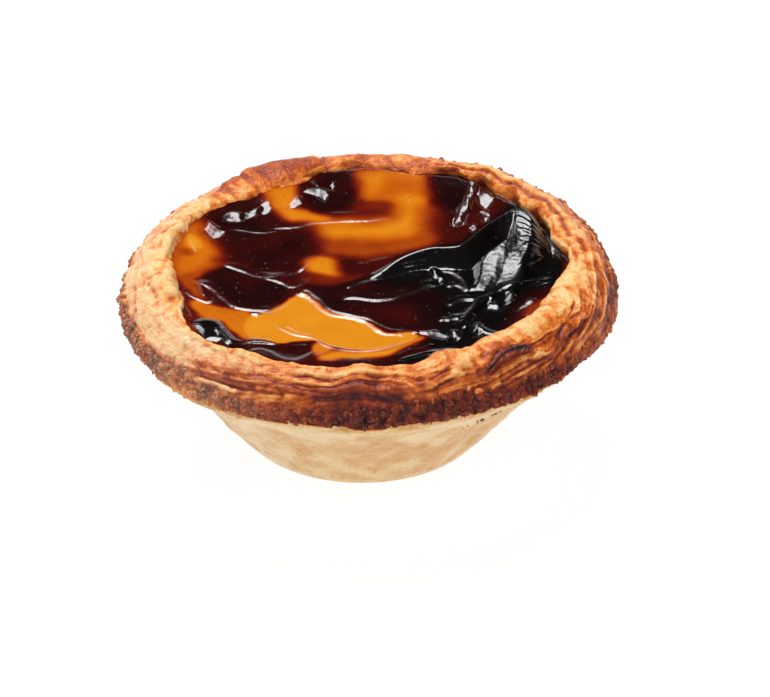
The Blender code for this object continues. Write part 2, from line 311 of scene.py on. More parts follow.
# Leaves whose outer edge lifted: (points of (angle, along) on the edge, width behind, width in front,
# height, browning of the edge, strength).
LIFTED_EDGES = (
    (((297, 4.0), (300, 3.2), (303, 2.5), (306, 2.2), (310, 2.4), (315, 3.1)), 0.8, 0.35, 1.1, 1.10, 1.0),
    (((297, 2.8), (300, 2.2), (303, 1.2), (306, 0.9), (310, 1.3)), 0.8, 0.35, 0.6, 0.70, 0.8),
    (((314, 5.6), (320, 4.4), (325, 3.4), (329, 2.4)), 0.5, 0.3, 0.25, 0.60, 0.6),
    (((318, 6.4), (325, 5.2), (331, 4.0), (336, 2.8)), 0.5, 0.3, 0.25, 0.56, 0.6),
    (((326, 5.6), (336, 4.2), (346, 2.6), (354, 1.4)), 0.4, 0.3, 0.30, 0.25, 0.5),
    (((336, 6.4), (346, 4.8), (356, 3.2), (364, 2.2)), 0.4, 0.3, 0.32, 0.25, 0.5),
    (((352, 6.6), (360, 5.2), (368, 3.8), (378, 2.6)), 0.4, 0.3, 0.32, 0.25, 0.5),
    (((368, 6.0), (376, 5.0), (386, 3.8), (396, 3.0)), 0.4, 0.3, 0.32, 0.26, 0.5),
    (((388, 5.0), (400, 4.2), (412, 3.6), (424, 3.3)), 0.4, 0.3, 0.30, 0.27, 0.5),
    (((352, -0.8), (362, -1.6), (374, -2.2), (388, -2.0)), 0.7, 0.4, 0.30, 0.24, 0.5),
    (((376, 0.4), (390, 0.2), (410, 0.0), (428, 0.2)), 0.6, 0.4, 0.30, 0.25, 0.5),
    (((462, 1.6), (468, 2.2), (476, 2.1), (482, 2.3), (488, 1.4)), 1.6, 0.4, 0.8, 0.58, 0.9),
    (((487, 0.8), (491, 1.3), (495, 0.8)), 1.0, 0.4, 0.5, 0.56, 0.9),
    (((158, -1.6), (166, -0.6), (176, -0.9)), 0.7, 0.7, 0.35, 0.24, 0.5),
    (((176, -2.2), (186, -1.0), (196, -0.6), (204, -1.2)), 0.7, 0.7, 0.40, 0.24, 0.5),
    (((198, -2.6), (208, -1.6), (216, -1.0)), 0.7, 0.7, 0.30, 0.24, 0.5),
    (((220, 5.8), (228, 5.0), (236, 4.6), (244, 4.8)), 0.6, 0.3, 0.35, 0.62, 0.8),
    (((222, 4.2), (230, 3.6), (240, 3.3), (250, 3.7), (258, 4.0)), 0.6, 0.3, 0.30, 0.56, 0.8),
    (((232, 2.6), (242, 2.2), (254, 2.6), (264, 2.4)), 0.7, 0.3, 0.25, 0.40, 0.7),
    (((246, 1.3), (258, 1.2), (268, 0.8), (280, 1.2)), 0.8, 0.4, 0.30, 0.28, 0.6),
    (((256, 3.4), (266, 3.2), (276, 3.4), (286, 3.2)), 0.5, 0.3, 0.25, 0.66, 0.8),
    (((282, 2.2), (290, 1.8), (297, 2.4)), 0.7, 0.3, 0.25, 0.34, 0.7),
)


def leaf_edges(angle, along):
    """The relief and the browning of the leaves' edges, which lie over each other in long, uneven steps, with
    painted shade under each edge.
    """
    x, y = ring(angle, 36.0)
    drift = 1.5 * cloud(x / 13, y / 13, along / 7, 5) + 0.55 * cloud(x / 4.5, y / 4.5, along / 3, 6)
    drift = drift + 0.30 * cloud(x / 2.0, y / 2.0, along / 1.8, 4) + round_the_rim(angle, 5, BROWNING)
    relief = browning = 0.0
    for thickness, height, valley, seed in ((1.5, 0.26, 0.11, 11), (0.58, 0.14, 0.055, 12)):
        count = (along + drift) / thickness + 40.0
        leaf = np.floor(count)
        share = count - leaf
        torn = np.clip(0.55 + 0.9 * cloud(x / 6 + leaf * 3.1, y / 6, leaf * 0.7, seed), 0.0, 1.3)
        relief = relief + height * torn * (share**1.4 - 0.45)
        # Painted shade darkens each leaf's low part just past the edge above it; the leaf is paler towards
        # its own raised edge, partly its dry colour and partly a painted highlight.
        shaded = smooth_step(share, 0.5, 0.0) - 0.7 * smooth_step(share, 0.5, 0.9)
        browning = browning + valley * torn * shaded
        browning = browning + valley * cloud(x / 8 + leaf * 4.3, y / 8, leaf * 1.9, seed + 5)
    return relief, browning


def crust_relief(angle, along):
    """The crust's relief over the plain form in mm, its browning, and how much of it is burnt crumb."""
    x, y = ring(angle, 36.0)
    lumps = 0.38 * cloud(x / 8, y / 8, along / 8, 1) + 0.24 * cloud(x / 3.2, y / 3.2, along / 3.2, 2)
    grain = billow(x / 1.5, y / 1.5, along / 1.3, 3, 3)
    pits = billow(x / 2.4, y / 2.4, along / 2.0, 10, 2)
    band_top = round_the_rim(angle, 7, BROWNING) + 0.7 * cloud(x / 6, y / 6, 0.5, 7)
    band_end = round_the_rim(angle, 8, BROWNING) + 0.2 + 0.5 * cloud(x / 2.2, y / 2.2, 3.5, 8)
    crumb = smooth_step(along, band_top - 0.5, band_top + 0.6)
    crumb = crumb * (1.0 - smooth_step(along, band_end - 0.2, band_end + 0.25))
    crumbly = round_the_rim(angle, 6, BROWNING) + 0.3 * cloud(x / 3, y / 3, along / 3, 14)
    crumb = crumb * np.clip(crumbly, 0.0, 1.0)
    leaves = smooth_step(along, -3.4, -1.8) * (1.0 - smooth_step(along, 8.4, 9.6)) * (1.0 - crumb)
    floury = round_the_rim(angle, 4, BROWNING)
    wall = smooth_step(along, 10.0, 12.5) * (1.0 - smooth_step(along, 36.5, 38.0))
    rim_only = smooth_step(along, -12.0, -6.0) * (1.0 - smooth_step(along, 10.0, 12.0))
    steps, browning = leaf_edges(angle, along)
    # The leaves lie flat over the crest and show their edges below it.
    edgewise = 0.3 + 0.7 * smooth_step(along, 0.2, 2.2)
    blotched = billow(x / 4.0, y / 4.0, along / 3.2, 15, 3)
    blisters = np.abs(cloud(x / 1.6, y / 1.6, along / 1.4, 33))
    blisters = blisters + floury * np.abs(cloud(x / 2.6, y / 2.6, along / 2.0, 35))
    flaky = (0.18 * blisters + (1.0 - 0.85 * floury) * edgewise * steps) * (1.0 - 0.8 * under_leaf(angle))
    relief = rim_only * lumps + leaves * flaky
    relief = relief + leaves * ((0.06 + 0.06 * floury) * grain + 0.24 * floury * pits)
    clumps = cloud(x / 1.1, y / 1.1, along / 1.9, 16)
    nuggets = cloud(x / 1.7, y / 1.7, along / 1.6, 36)
    relief = relief + crumb * (0.75 * np.abs(grain) + 0.35 * clumps + 0.7 * floury * nuggets - 0.3)
    flow = cloud(x / 5 + along / 6, y / 5, along / 9, 9)
    relief = relief + wall * (0.34 * flow + 0.16 * cloud(x / 1.8, y / 1.8, along / 2.6, 19) + 0.05 * grain)
    browning = leaves * (1.0 - 0.6 * floury) * (edgewise * browning + 0.11 * blotched)
    mottled = cloud(x / 3, y / 3, along / 3, 34)
    browning = browning - crumb * (0.10 * clumps + 0.10 * mottled + 0.14 * floury * nuggets)
    browning = browning + leaves * floury * np.clip(-0.35 * pits - 0.16 * grain - 0.10, 0.0, 0.10)
    # The wall is palest under the rim and tan below; the darker lower part is partly its own tan and partly
    # painted shade, with an uneven edge.
    tinged = 0.08 * cloud(x / 6 - along / 9, y / 6, along / 5, 28) + 0.02 * cloud(x / 2, y / 2, along / 2, 29)
    tan = smooth_step(along + 4.0 * cloud(x / 7, y / 7, 1.5, 38), 16.0, 18.5)
    browning = browning + wall * (0.04 * flow + tinged + 0.03 * tan)
    return relief, browning, crumb


def mesh_of(name, points, faces):
    """A smooth mesh from points in mm and the faces between them."""
    mesh = bpy.data.meshes.new(name)
    mesh.from_pydata((np.asarray(points) * MM).tolist(), [], faces)
    mesh.shade_smooth()
    return mesh


def grid_mesh(name, rows):
    """A mesh through rows of points that each go once round. A row of one point closes an end."""
    count = len(rows[0]) if len(rows[0]) > 1 else len(rows[1])
    starts = np.cumsum([0] + [len(row) for row in rows])
    faces = []
    step = np.arange(count)
    ahead = (step + 1) % count
    for row, (first, second) in enumerate(zip(starts, starts[1:-1])):
        if len(rows[row]) == 1:
            faces += np.stack([first + 0 * step, second + step, second + ahead], 1).tolist()
        elif len(rows[row + 1]) == 1:
            faces += np.stack([first + ahead, first + step, second + 0 * step], 1).tolist()
        else:
            corners = [first + ahead, first + step, second + step, second + ahead]
            faces += np.stack(corners, 1).tolist()
    return mesh_of(name, np.vstack(rows), faces)


def add_piece(name, mesh):
    piece = bpy.data.objects.new(name, mesh)
    bpy.context.scene.collection.objects.link(piece)
    return piece


def note_on(mesh, name, values):
    """Keeps one number for each point of the mesh, for its material to read."""
    note = mesh.attributes.new(name, "FLOAT", "POINT")
    note.data.foreach_set("value", np.asarray(values, np.float32))


row_along = np.concatenate([
    section_along[:1],
    np.interp([8.0, 14.6], section[:3 * SPAN, 0], section_along[:3 * SPAN]),
    np.arange(-20.0, -4.0, 3.0),
    np.arange(-3.4, 10.8, CRUST_ROW),
    np.arange(11.4, 37.0, 1.25),
    section_along[-1] - np.array([19.0, 17.8, 8.0, 0.0]),
])
round_angle = np.arange(STEPS_ROUND) * (360.0 / STEPS_ROUND)
cup_angle, cup_along = np.meshgrid(round_angle, row_along)
cup_relief, leaf_brown, cup_crumb = crust_relief(cup_angle, cup_along)

crest_brown, shoulder_brown, band_brown, flour = (
    round_the_rim(cup_angle, column, BROWNING) for column in (1, 2, 3, 4)
)
cup_brown = crest_brown + smooth_step(cup_along, 0.6, 3.2) * (shoulder_brown - crest_brown)
ragged = 0.45 * cloud(*ring(cup_angle, 16.4), 3.5, 8)
in_band = smooth_step(cup_along + ragged - round_the_rim(cup_angle, 7, BROWNING), -0.5, 1.1)
cup_brown = cup_brown + in_band * (band_brown - cup_brown)
scorched = np.clip(cloud(*ring(cup_angle, 4.5), 8.5, 37), 0.0, 1.0)
past_band = cup_along + ragged - round_the_rim(cup_angle, 8, BROWNING)
under_rim = smooth_step(past_band, 0.0, 0.06 + 2.2 * scorched)
cup_brown = cup_brown + under_rim * (0.03 - cup_brown)
at_back = np.clip(np.sin(np.radians(cup_angle)), 0.0, 1.0)
inner_side = 1.0 - smooth_step(cup_along - 0.9 * at_back + 1.6 * ragged, -3.2, -1.6)
stained = 0.50 + 0.08 * at_back - 0.30 * flour
stained = stained + (0.5 - 0.4 * flour) * cloud(*ring(cup_angle, 12.0), cup_along / 2.5, 17)
cup_brown = cup_brown + inner_side * (stained - cup_brown)
for points, width, browning, strength, lift in CRUST_MARKS:
    away, _ = off_rim_line(cup_angle, cup_along, points)
    mark = np.exp(-((away / width) ** 2))
    cup_brown = cup_brown + strength * mark * (browning - cup_brown)
    cup_relief = cup_relief + lift * mark
for points, behind, before, height, browning, strength in LIFTED_EDGES:
    inner, share = off_rim_line(cup_angle, cup_along, points)
    ends = smooth_step(share, -0.02, 0.16) * (1.0 - smooth_step(share, 0.84, 1.02))
    front = np.clip(1.0 - (np.maximum(-inner, 0.0) / before) ** 3.0, 0.0, 1.0)
    cup_relief = cup_relief + height * ends * np.where(inner > 0.0, np.exp(-((inner / behind) ** 2)), front)
    edged = strength * ends * np.exp(-((inner / (0.5 * behind + 0.1)) ** 2)) * (inner > -0.7 * before)
    cup_brown = cup_brown + edged * (browning - cup_brown)
softened = cup_relief
for reach in (1, 2, 4):
    softened = (np.roll(softened, reach, 1) + 2.0 * softened + np.roll(softened, -reach, 1)) / 4.0
    if reach < 4:
        inner_rows = softened[reach:-reach]
        softened[reach:-reach] = (softened[:-2 * reach] + 2.0 * inner_rows + softened[2 * reach:]) / 4.0
# Painted shade: hollows in the relief are darkened in colour as if shaded, and what stands proud is painted a
# little lighter; the wall stays pale.
painted_cavity_shade = np.clip(softened - cup_relief, -0.10, 0.24)
on_rim = 1.0 - under_rim
cup_brown = cup_brown + leaf_brown + on_rim * (1.0 - 0.5 * cup_crumb) * (1.1 - 0.5 * flour) * painted_cavity_shade
cup_brown = np.clip(cup_brown, np.maximum(0.20, crest_brown - 0.09) * on_rim, 0.11 + 2.0 * on_rim)
cup_flour = flour * (1.0 - 0.85 * smooth_step(cup_brown, 0.32, 0.46) * (1.0 - cup_crumb))
cup_flour = cup_flour * smooth_step(cup_along, 0.0, 1.0) * (1.0 - 0.5 * cup_crumb) * on_rim

cup_rows = list(on_cup(cup_angle, cup_along, cup_relief))
cup_rows[0] = cup_rows[0][:1] * (0.0, 0.0, 1.0) + (FOOT_SHIFT, 0.0, 0.0)
cup_rows[-1] = cup_rows[-1][:1] * 0.0 + (FOOT_SHIFT, 0.0, 0.0)
cup_mesh = grid_mesh("pastry", cup_rows)
for name, values in (("brown", cup_brown + 0.07 * cup_crumb), ("flour", cup_flour), ("crumb", cup_crumb)):
    note_on(cup_mesh, name, np.concatenate([values[0, :1], values[1:-1].ravel(), values[-1, :1]]))
pastry = add_piece("pastry", cup_mesh)


def paint(hex_colour):
    """A colour written as sRGB hex, turned to the linear values that a shader takes."""
    parts = [int(hex_colour[i:i + 2], 16) / 255 for i in (1, 3, 5)]
    return [p / 12.92 if p <= 0.04045 else ((p + 0.055) / 1.055) ** 2.4 for p in parts] + [1.0]


def add_node(tree, kind, inputs=None, **settings):
    """Adds a node with its settings. Each input is given a value, or the socket that it is linked from."""
    node = tree.nodes.new(kind)
    for name, value in settings.items():
        setattr(node, name, value)
    for name, value in (inputs or {}).items():
        if isinstance(value, bpy.types.NodeSocket):
            tree.links.new(value, node.inputs[name])
        else:
            node.inputs[name].default_value = value
    return node


def new_material(name):
    made = bpy.data.materials.new(name)
    made.use_nodes = True
    return made, made.node_tree, made.node_tree.nodes["Principled BSDF"]


def set_stops(ramp, stops):
    """Gives a colour ramp its stops, as (position, sRGB hex)."""
    for position, _ in stops[1:-1]:
        ramp.elements.new(position)
    for element, (position, colour) in zip(ramp.elements, stops):
        element.position = position
        element.color = paint(colour)


# Baked puff pastry: dry, brittle leaves with butter baked into them. It is matt and floury where
# it is pale, has a low buttery shine where it is golden, and turns dull and rough where it is burnt.
BAKED_COLOURS = (
    # The wall, which stayed pale against the tin.
    (0.00, "#F2D19C"), (0.05, "#E9BD7E"), (0.10, "#DFA75E"), (0.15, "#D8984C"),
    # The rim, from floury through golden and brown to burnt.
    (0.17, "#FAD79A"), (0.22, "#F7C57F"), (0.26, "#F6B26C"), (0.31, "#F09A4A"),
    (0.37, "#E47E30"), (0.44, "#C85E1E"), (0.52, "#AA4A1C"), (0.61, "#8E3418"),
    (0.72, "#74281A"), (0.86, "#521C19"), (1.00, "#220F14"),
)
baked_pastry, tree, shader = new_material("baked_puff_pastry")
place = add_node(tree, "ShaderNodeTexCoord").outputs["Object"]
brown = add_node(tree, "ShaderNodeAttribute", attribute_name="brown").outputs["Fac"]
floury = add_node(tree, "ShaderNodeAttribute", attribute_name="flour").outputs["Fac"]
crumbly = add_node(tree, "ShaderNodeAttribute", attribute_name="crumb").outputs["Fac"]
# 2.5 mm blotches of browning, and 0.5 mm specks.
blotches = add_node(tree, "ShaderNodeTexNoise", {"Vector": place, "Scale": 400.0, "Detail": 4.0})
specks = add_node(tree, "ShaderNodeTexNoise", {"Vector": place, "Scale": 1900.0, "Detail": 3.0})
uneven = add_node(
    tree, "ShaderNodeMath", {0: blotches.outputs["Fac"], 1: 0.16, 2: -0.08}, operation="MULTIPLY_ADD"
)
speckled = add_node(
    tree, "ShaderNodeMath", {0: specks.outputs["Fac"], 1: 0.16, 2: -0.08}, operation="MULTIPLY_ADD"
)
browned = add_node(tree, "ShaderNodeMath", {0: brown, 1: uneven.outputs[0]}, operation="ADD")
browned = add_node(tree, "ShaderNodeMath", {0: browned.outputs[0], 1: speckled.outputs[0]}, operation="ADD")
colour = add_node(tree, "ShaderNodeValToRGB", {"Fac": browned.outputs[0]})
set_stops(colour.color_ramp, BAKED_COLOURS)
dusted = add_node(
    tree, "ShaderNodeMath", {0: specks.outputs["Fac"], 1: 2.4, 2: -0.60}, operation="MULTIPLY_ADD",
    use_clamp=True,
)
dusting = add_node(tree, "ShaderNodeMath", {0: dusted.outputs[0], 1: floury}, operation="MULTIPLY")
# Mix keeps a socket for each kind of data: the colour ones are 6, 7 and output 2.
floured = add_node(
    tree, "ShaderNodeMix", {0: dusting.outputs[0], 6: colour.outputs[0], 7: paint("#F8CEAC")},
    data_type="RGBA",
)
tree.links.new(floured.outputs[2], shader.inputs["Base Color"])
dullness = add_node(
    tree, "ShaderNodeMath", {0: crumbly, 1: 0.36, 2: 0.30}, operation="MULTIPLY_ADD"
)
tree.links.new(dullness.outputs[0], shader.inputs["Roughness"])
flakes = add_node(
    tree, "ShaderNodeBump", {"Height": specks.outputs["Fac"], "Strength": 0.7, "Distance": 0.0004}
)
tree.links.new(flakes.outputs[0], shader.inputs["Normal"])
shader.inputs["Subsurface Weight"].default_value = 0.12
shader.inputs["Subsurface Radius"].default_value = (1.0, 0.5, 0.2)
shader.inputs["Subsurface Scale"].default_value = 0.0012
shader.inputs["IOR"].default_value = 1.45
shader.inputs["Specular IOR Level"].default_value = 0.3
cup_mesh.materials.append(baked_pastry)
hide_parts("pastry_case")
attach(pastry, "root")

# ---------------------------------------------------------------------------
# A torn leaf of the pastry. Where the dough was cut across, a single leaf dried first in the oven
# and lifted over the back rim; its free edge browned, while the other stayed rooted in the rim.
# ---------------------------------------------------------------------------
# Its two edges, as (angle, along) points.
LEAF_ROOT = ((103, -1.6), (114, -1.4), (127, -1.6))
LEAF_EDGE = ((103, 1.6), (108, 2.3), (116, 2.0), (122, 2.4), (127, 1.4))
LEAF_LIFT = 0.9
LEAF_THICKNESS = 0.30
LEAF_BROWNING = (0.36, 0.52)
BROKEN_EDGE_BROWNING = 0.48
LEAF_COLUMNS = 58
LEAF_ROWS = 6
LEAF_SMOOTHING = 40

leaf_angle = np.linspace(LEAF_ROOT[0][0], LEAF_ROOT[-1][0], LEAF_COLUMNS)
rooted, free = (
    np.interp(leaf_angle, line[:, 0], line[:, 1]) for line in (through(LEAF_ROOT, 12), through(LEAF_EDGE, 12))
)
column = np.arange(LEAF_COLUMNS)
free = free + 0.16 * cloud(column / 2.6, 0.5 + 0 * column, 0.5, 71)
taper = np.clip(np.sin(np.linspace(0.06, math.pi - 0.06, LEAF_COLUMNS)), 0.0, 1.0) ** 0.45
lifted = LEAF_LIFT * taper * (0.9 + 0.25 * cloud(column / 16.0, 0.5 + 0 * column, 4.5, 72))
share = np.linspace(0.0, 1.0, LEAF_ROWS)[:, None]
leaf_along = rooted + (free - rooted) * (0.35 + 0.65 * taper) * share
upper_lift = -0.15 + (lifted + 0.15) * share**1.5 + 0.10 * LEAF_THICKNESS
lower_lift = upper_lift - (0.12 + LEAF_THICKNESS * share * (0.4 + 0.6 * taper))
leaf_turns = leaf_angle[None, :] + 0 * share
upper = on_cup(leaf_turns, leaf_along, upper_lift)
lower = on_cup(leaf_turns, leaf_along - 0.12 * share, lower_lift)
# A leaf is too stiff to follow the rim's small lumps.
for _ in range(LEAF_SMOOTHING):
    for side in (upper, lower):
        side[:, 1:-1] = (side[:, :-2] + 2.0 * side[:, 1:-1] + side[:, 2:]) / 4.0
at = np.arange(2 * LEAF_ROWS * LEAF_COLUMNS).reshape(2 * LEAF_ROWS, LEAF_COLUMNS)
around = np.roll(at, -1, 0)
leaf_faces = np.stack([at[:, :-1], around[:, :-1], around[:, 1:], at[:, 1:]], axis=-1).reshape(-1, 4).tolist()
leaf_faces += [at[::-1, 0].tolist(), at[:, -1].tolist()]
leaf_mesh = mesh_of("torn_leaves", np.concatenate([upper, lower[::-1]]).reshape(-1, 3), leaf_faces)
shade = LEAF_BROWNING[0] + (LEAF_BROWNING[1] - LEAF_BROWNING[0]) * share**2.2
shade = shade + 0.10 * cloud(column[None, :] / 14.0, share * 4.0, 0.5, 73)
note_on(leaf_mesh, "brown", np.concatenate([shade, np.maximum(shade[::-1], BROKEN_EDGE_BROWNING)]).ravel())
note_on(leaf_mesh, "flour", np.zeros(at.size))
note_on(leaf_mesh, "crumb", np.zeros(at.size))
leaf_mesh.materials.append(baked_pastry)
torn_leaves = add_piece("torn_leaves", leaf_mesh)
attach(torn_leaves, "root")

# ---------------------------------------------------------------------------
# Crumbs on the burnt band. The cut ends of the leaves stood over the tin's edge, dried into hard
# crumbs and burnt there; each one is a lump of baked dough stuck to the rim.
# ---------------------------------------------------------------------------
CRUMBS_PER_SQUARE_MM = 5.0
CRUMB_RADIUS = (0.13, 0.44)
CRUMB_SINK = 0.22
# A few burnt specks stick to the wall too, at the front right: the middle of their patch and half its
# size, in degrees round the cup and in mm along its section.
STRAY_MIDDLE = (302.0, 15.5)
STRAY_REACH = (5.0, 2.0)
STRAY_THICKNESS = 0.30
STRAY_BROWNING = 0.86


def new_tree(name, **inputs):
    """A new tree of Geometry Nodes, with its named number inputs and its Group Input node."""
    tree = bpy.data.node_groups.new(name, "GeometryNodeTree")
    tree.interface.new_socket("Geometry", in_out="INPUT", socket_type="NodeSocketGeometry")
    tree.interface.new_socket("Geometry", in_out="OUTPUT", socket_type="NodeSocketGeometry")
    for title, value in inputs.items():
        kind = "NodeSocketInt" if isinstance(value, int) else "NodeSocketFloat"
        tree.interface.new_socket(title, in_out="INPUT", socket_type=kind).default_value = value
    return tree, tree.nodes.new("NodeGroupInput").outputs


def made_by(tree, name, mesh, **inputs):
    """The plain mesh that a tree makes from another mesh, as a new piece."""
    holder = add_piece(name, mesh)
    worker = holder.modifiers.new(name, "NODES")
    worker.node_group = tree
    for socket in tree.interface.items_tree:
        if socket.in_out == "INPUT" and socket.name in inputs:
            worker[socket.identifier] = inputs[socket.name]
    bpy.context.view_layer.update()
    seen = holder.evaluated_get(bpy.context.evaluated_depsgraph_get())
    plain = bpy.data.meshes.new_from_object(seen)
    plain.name = name
    holder.modifiers.remove(worker)
    holder.data = plain
    return holder


tree, given = new_tree("scattered_crumbs", Density=1.0, Smallest=0.1, Largest=0.2, Seed=1)
thick_enough = add_node(tree, "GeometryNodeInputNamedAttribute", {"Name": "crumb"}, data_type="FLOAT")
density = add_node(
    tree, "ShaderNodeMath", {0: given["Density"], 1: thick_enough.outputs[0]}, operation="MULTIPLY"
)
spots = add_node(
    tree, "GeometryNodeDistributePointsOnFaces",
    {"Mesh": given["Geometry"], "Density": density.outputs[0], "Seed": given["Seed"]},
)
host_brown = add_node(tree, "GeometryNodeInputNamedAttribute", {"Name": "brown"}, data_type="FLOAT")
crumb_shade = add_node(tree, "FunctionNodeRandomValue", {"Seed": 5}, data_type="FLOAT")
crumb_shade.inputs[2].default_value, crumb_shade.inputs[3].default_value = -0.10, 0.14
shaded = add_node(
    tree, "ShaderNodeMath", {0: host_brown.outputs[0], 1: crumb_shade.outputs[1]}, operation="ADD"
)
noted = add_node(
    tree, "GeometryNodeStoreNamedAttribute",
    {"Geometry": spots.outputs["Points"], "Name": "brown", "Value": shaded.outputs[0]},
    data_type="FLOAT", domain="POINT",
)
lump = add_node(tree, "GeometryNodeMeshIcoSphere", {"Radius": 1.1, "Subdivisions": 1})
size = add_node(tree, "FunctionNodeRandomValue", data_type="FLOAT")
tree.links.new(given["Smallest"], size.inputs[2])
tree.links.new(given["Largest"], size.inputs[3])
squeeze = add_node(tree, "FunctionNodeRandomValue", data_type="FLOAT_VECTOR")
squeeze.inputs[0].default_value, squeeze.inputs[1].default_value = (0.4, 0.6, 0.5), (1.5, 1.2, 1.0)
sized = add_node(
    tree, "ShaderNodeVectorMath", {0: squeeze.outputs[0], "Scale": size.outputs[1]}, operation="SCALE"
)
turns = add_node(tree, "FunctionNodeRandomValue", data_type="FLOAT_VECTOR")
turns.inputs[1].default_value = (6.28, 6.28, 6.28)
lumps = add_node(
    tree, "GeometryNodeInstanceOnPoints",
    {"Points": noted.outputs[0], "Instance": lump.outputs["Mesh"], "Rotation": turns.outputs[0],
     "Scale": sized.outputs[0]},
)
realised = add_node(tree, "GeometryNodeRealizeInstances", {"Geometry": lumps.outputs[0]})
# Dents of about half a crumb's size.
dents = add_node(tree, "ShaderNodeTexNoise", {"Scale": 2000.0, "Detail": 2.0})
depth = add_node(
    tree, "ShaderNodeMath", {0: dents.outputs["Fac"], 1: 0.0012, 2: -0.0006}, operation="MULTIPLY_ADD"
)
outward = add_node(tree, "GeometryNodeInputNormal")
moved = add_node(
    tree, "ShaderNodeVectorMath", {0: outward.outputs[0], "Scale": depth.outputs[0]}, operation="SCALE"
)
dented = add_node(
    tree, "GeometryNodeSetPosition", {"Geometry": realised.outputs[0], "Offset": moved.outputs[0]}
)
finished = add_node(
    tree, "GeometryNodeSetMaterial", {"Geometry": dented.outputs[0], "Material": baked_pastry}
)
add_node(tree, "NodeGroupOutput", {"Geometry": finished.outputs[0]})

stray_round = (cup_angle - STRAY_MIDDLE[0]) / STRAY_REACH[0]
stray_along = (cup_along - STRAY_MIDDLE[1]) / STRAY_REACH[1]
strays = STRAY_THICKNESS * np.exp(-(stray_round**2) - stray_along**2)
strays = np.where((cup_along > 11.4) & (strays > 0.05), strays, 0.0)
on_band = (row_along > 2.0) & (row_along < 20.0)
band_rows = on_cup(cup_angle[on_band], cup_along[on_band], cup_relief[on_band] - CRUMB_SINK)
band_mesh = grid_mesh("burnt_band", list(band_rows))
note_on(band_mesh, "brown", np.where(strays > 0.0, STRAY_BROWNING, cup_brown)[on_band].ravel())
note_on(band_mesh, "crumb", (cup_crumb + strays)[on_band].ravel())
# Every crumb gets a little flour: pale specks that stand in for painted highlights on the crumbs, besides the
# real flour on the left.
note_on(band_mesh, "flour", 0.08 + 0.8 * flour[on_band].ravel())
crumbs = made_by(
    tree, "burnt_crumbs", band_mesh, Density=CRUMBS_PER_SQUARE_MM / MM**2,
    Smallest=CRUMB_RADIUS[0] * MM, Largest=CRUMB_RADIUS[1] * MM, Seed=7,
)
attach(crumbs, "root")

# ---------------------------------------------------------------------------
# The custard. Egg yolks, syrup and milk are poured into the raw cup and baked
# very hot, so the filling sets soft and its skin blisters, sinks in pools and
# burns from yellow through red-brown caramel to black.
# ---------------------------------------------------------------------------
SKIN_LEVEL = 27.3
BASE_LEVEL = 22.5
SKIN_CELLS = 290

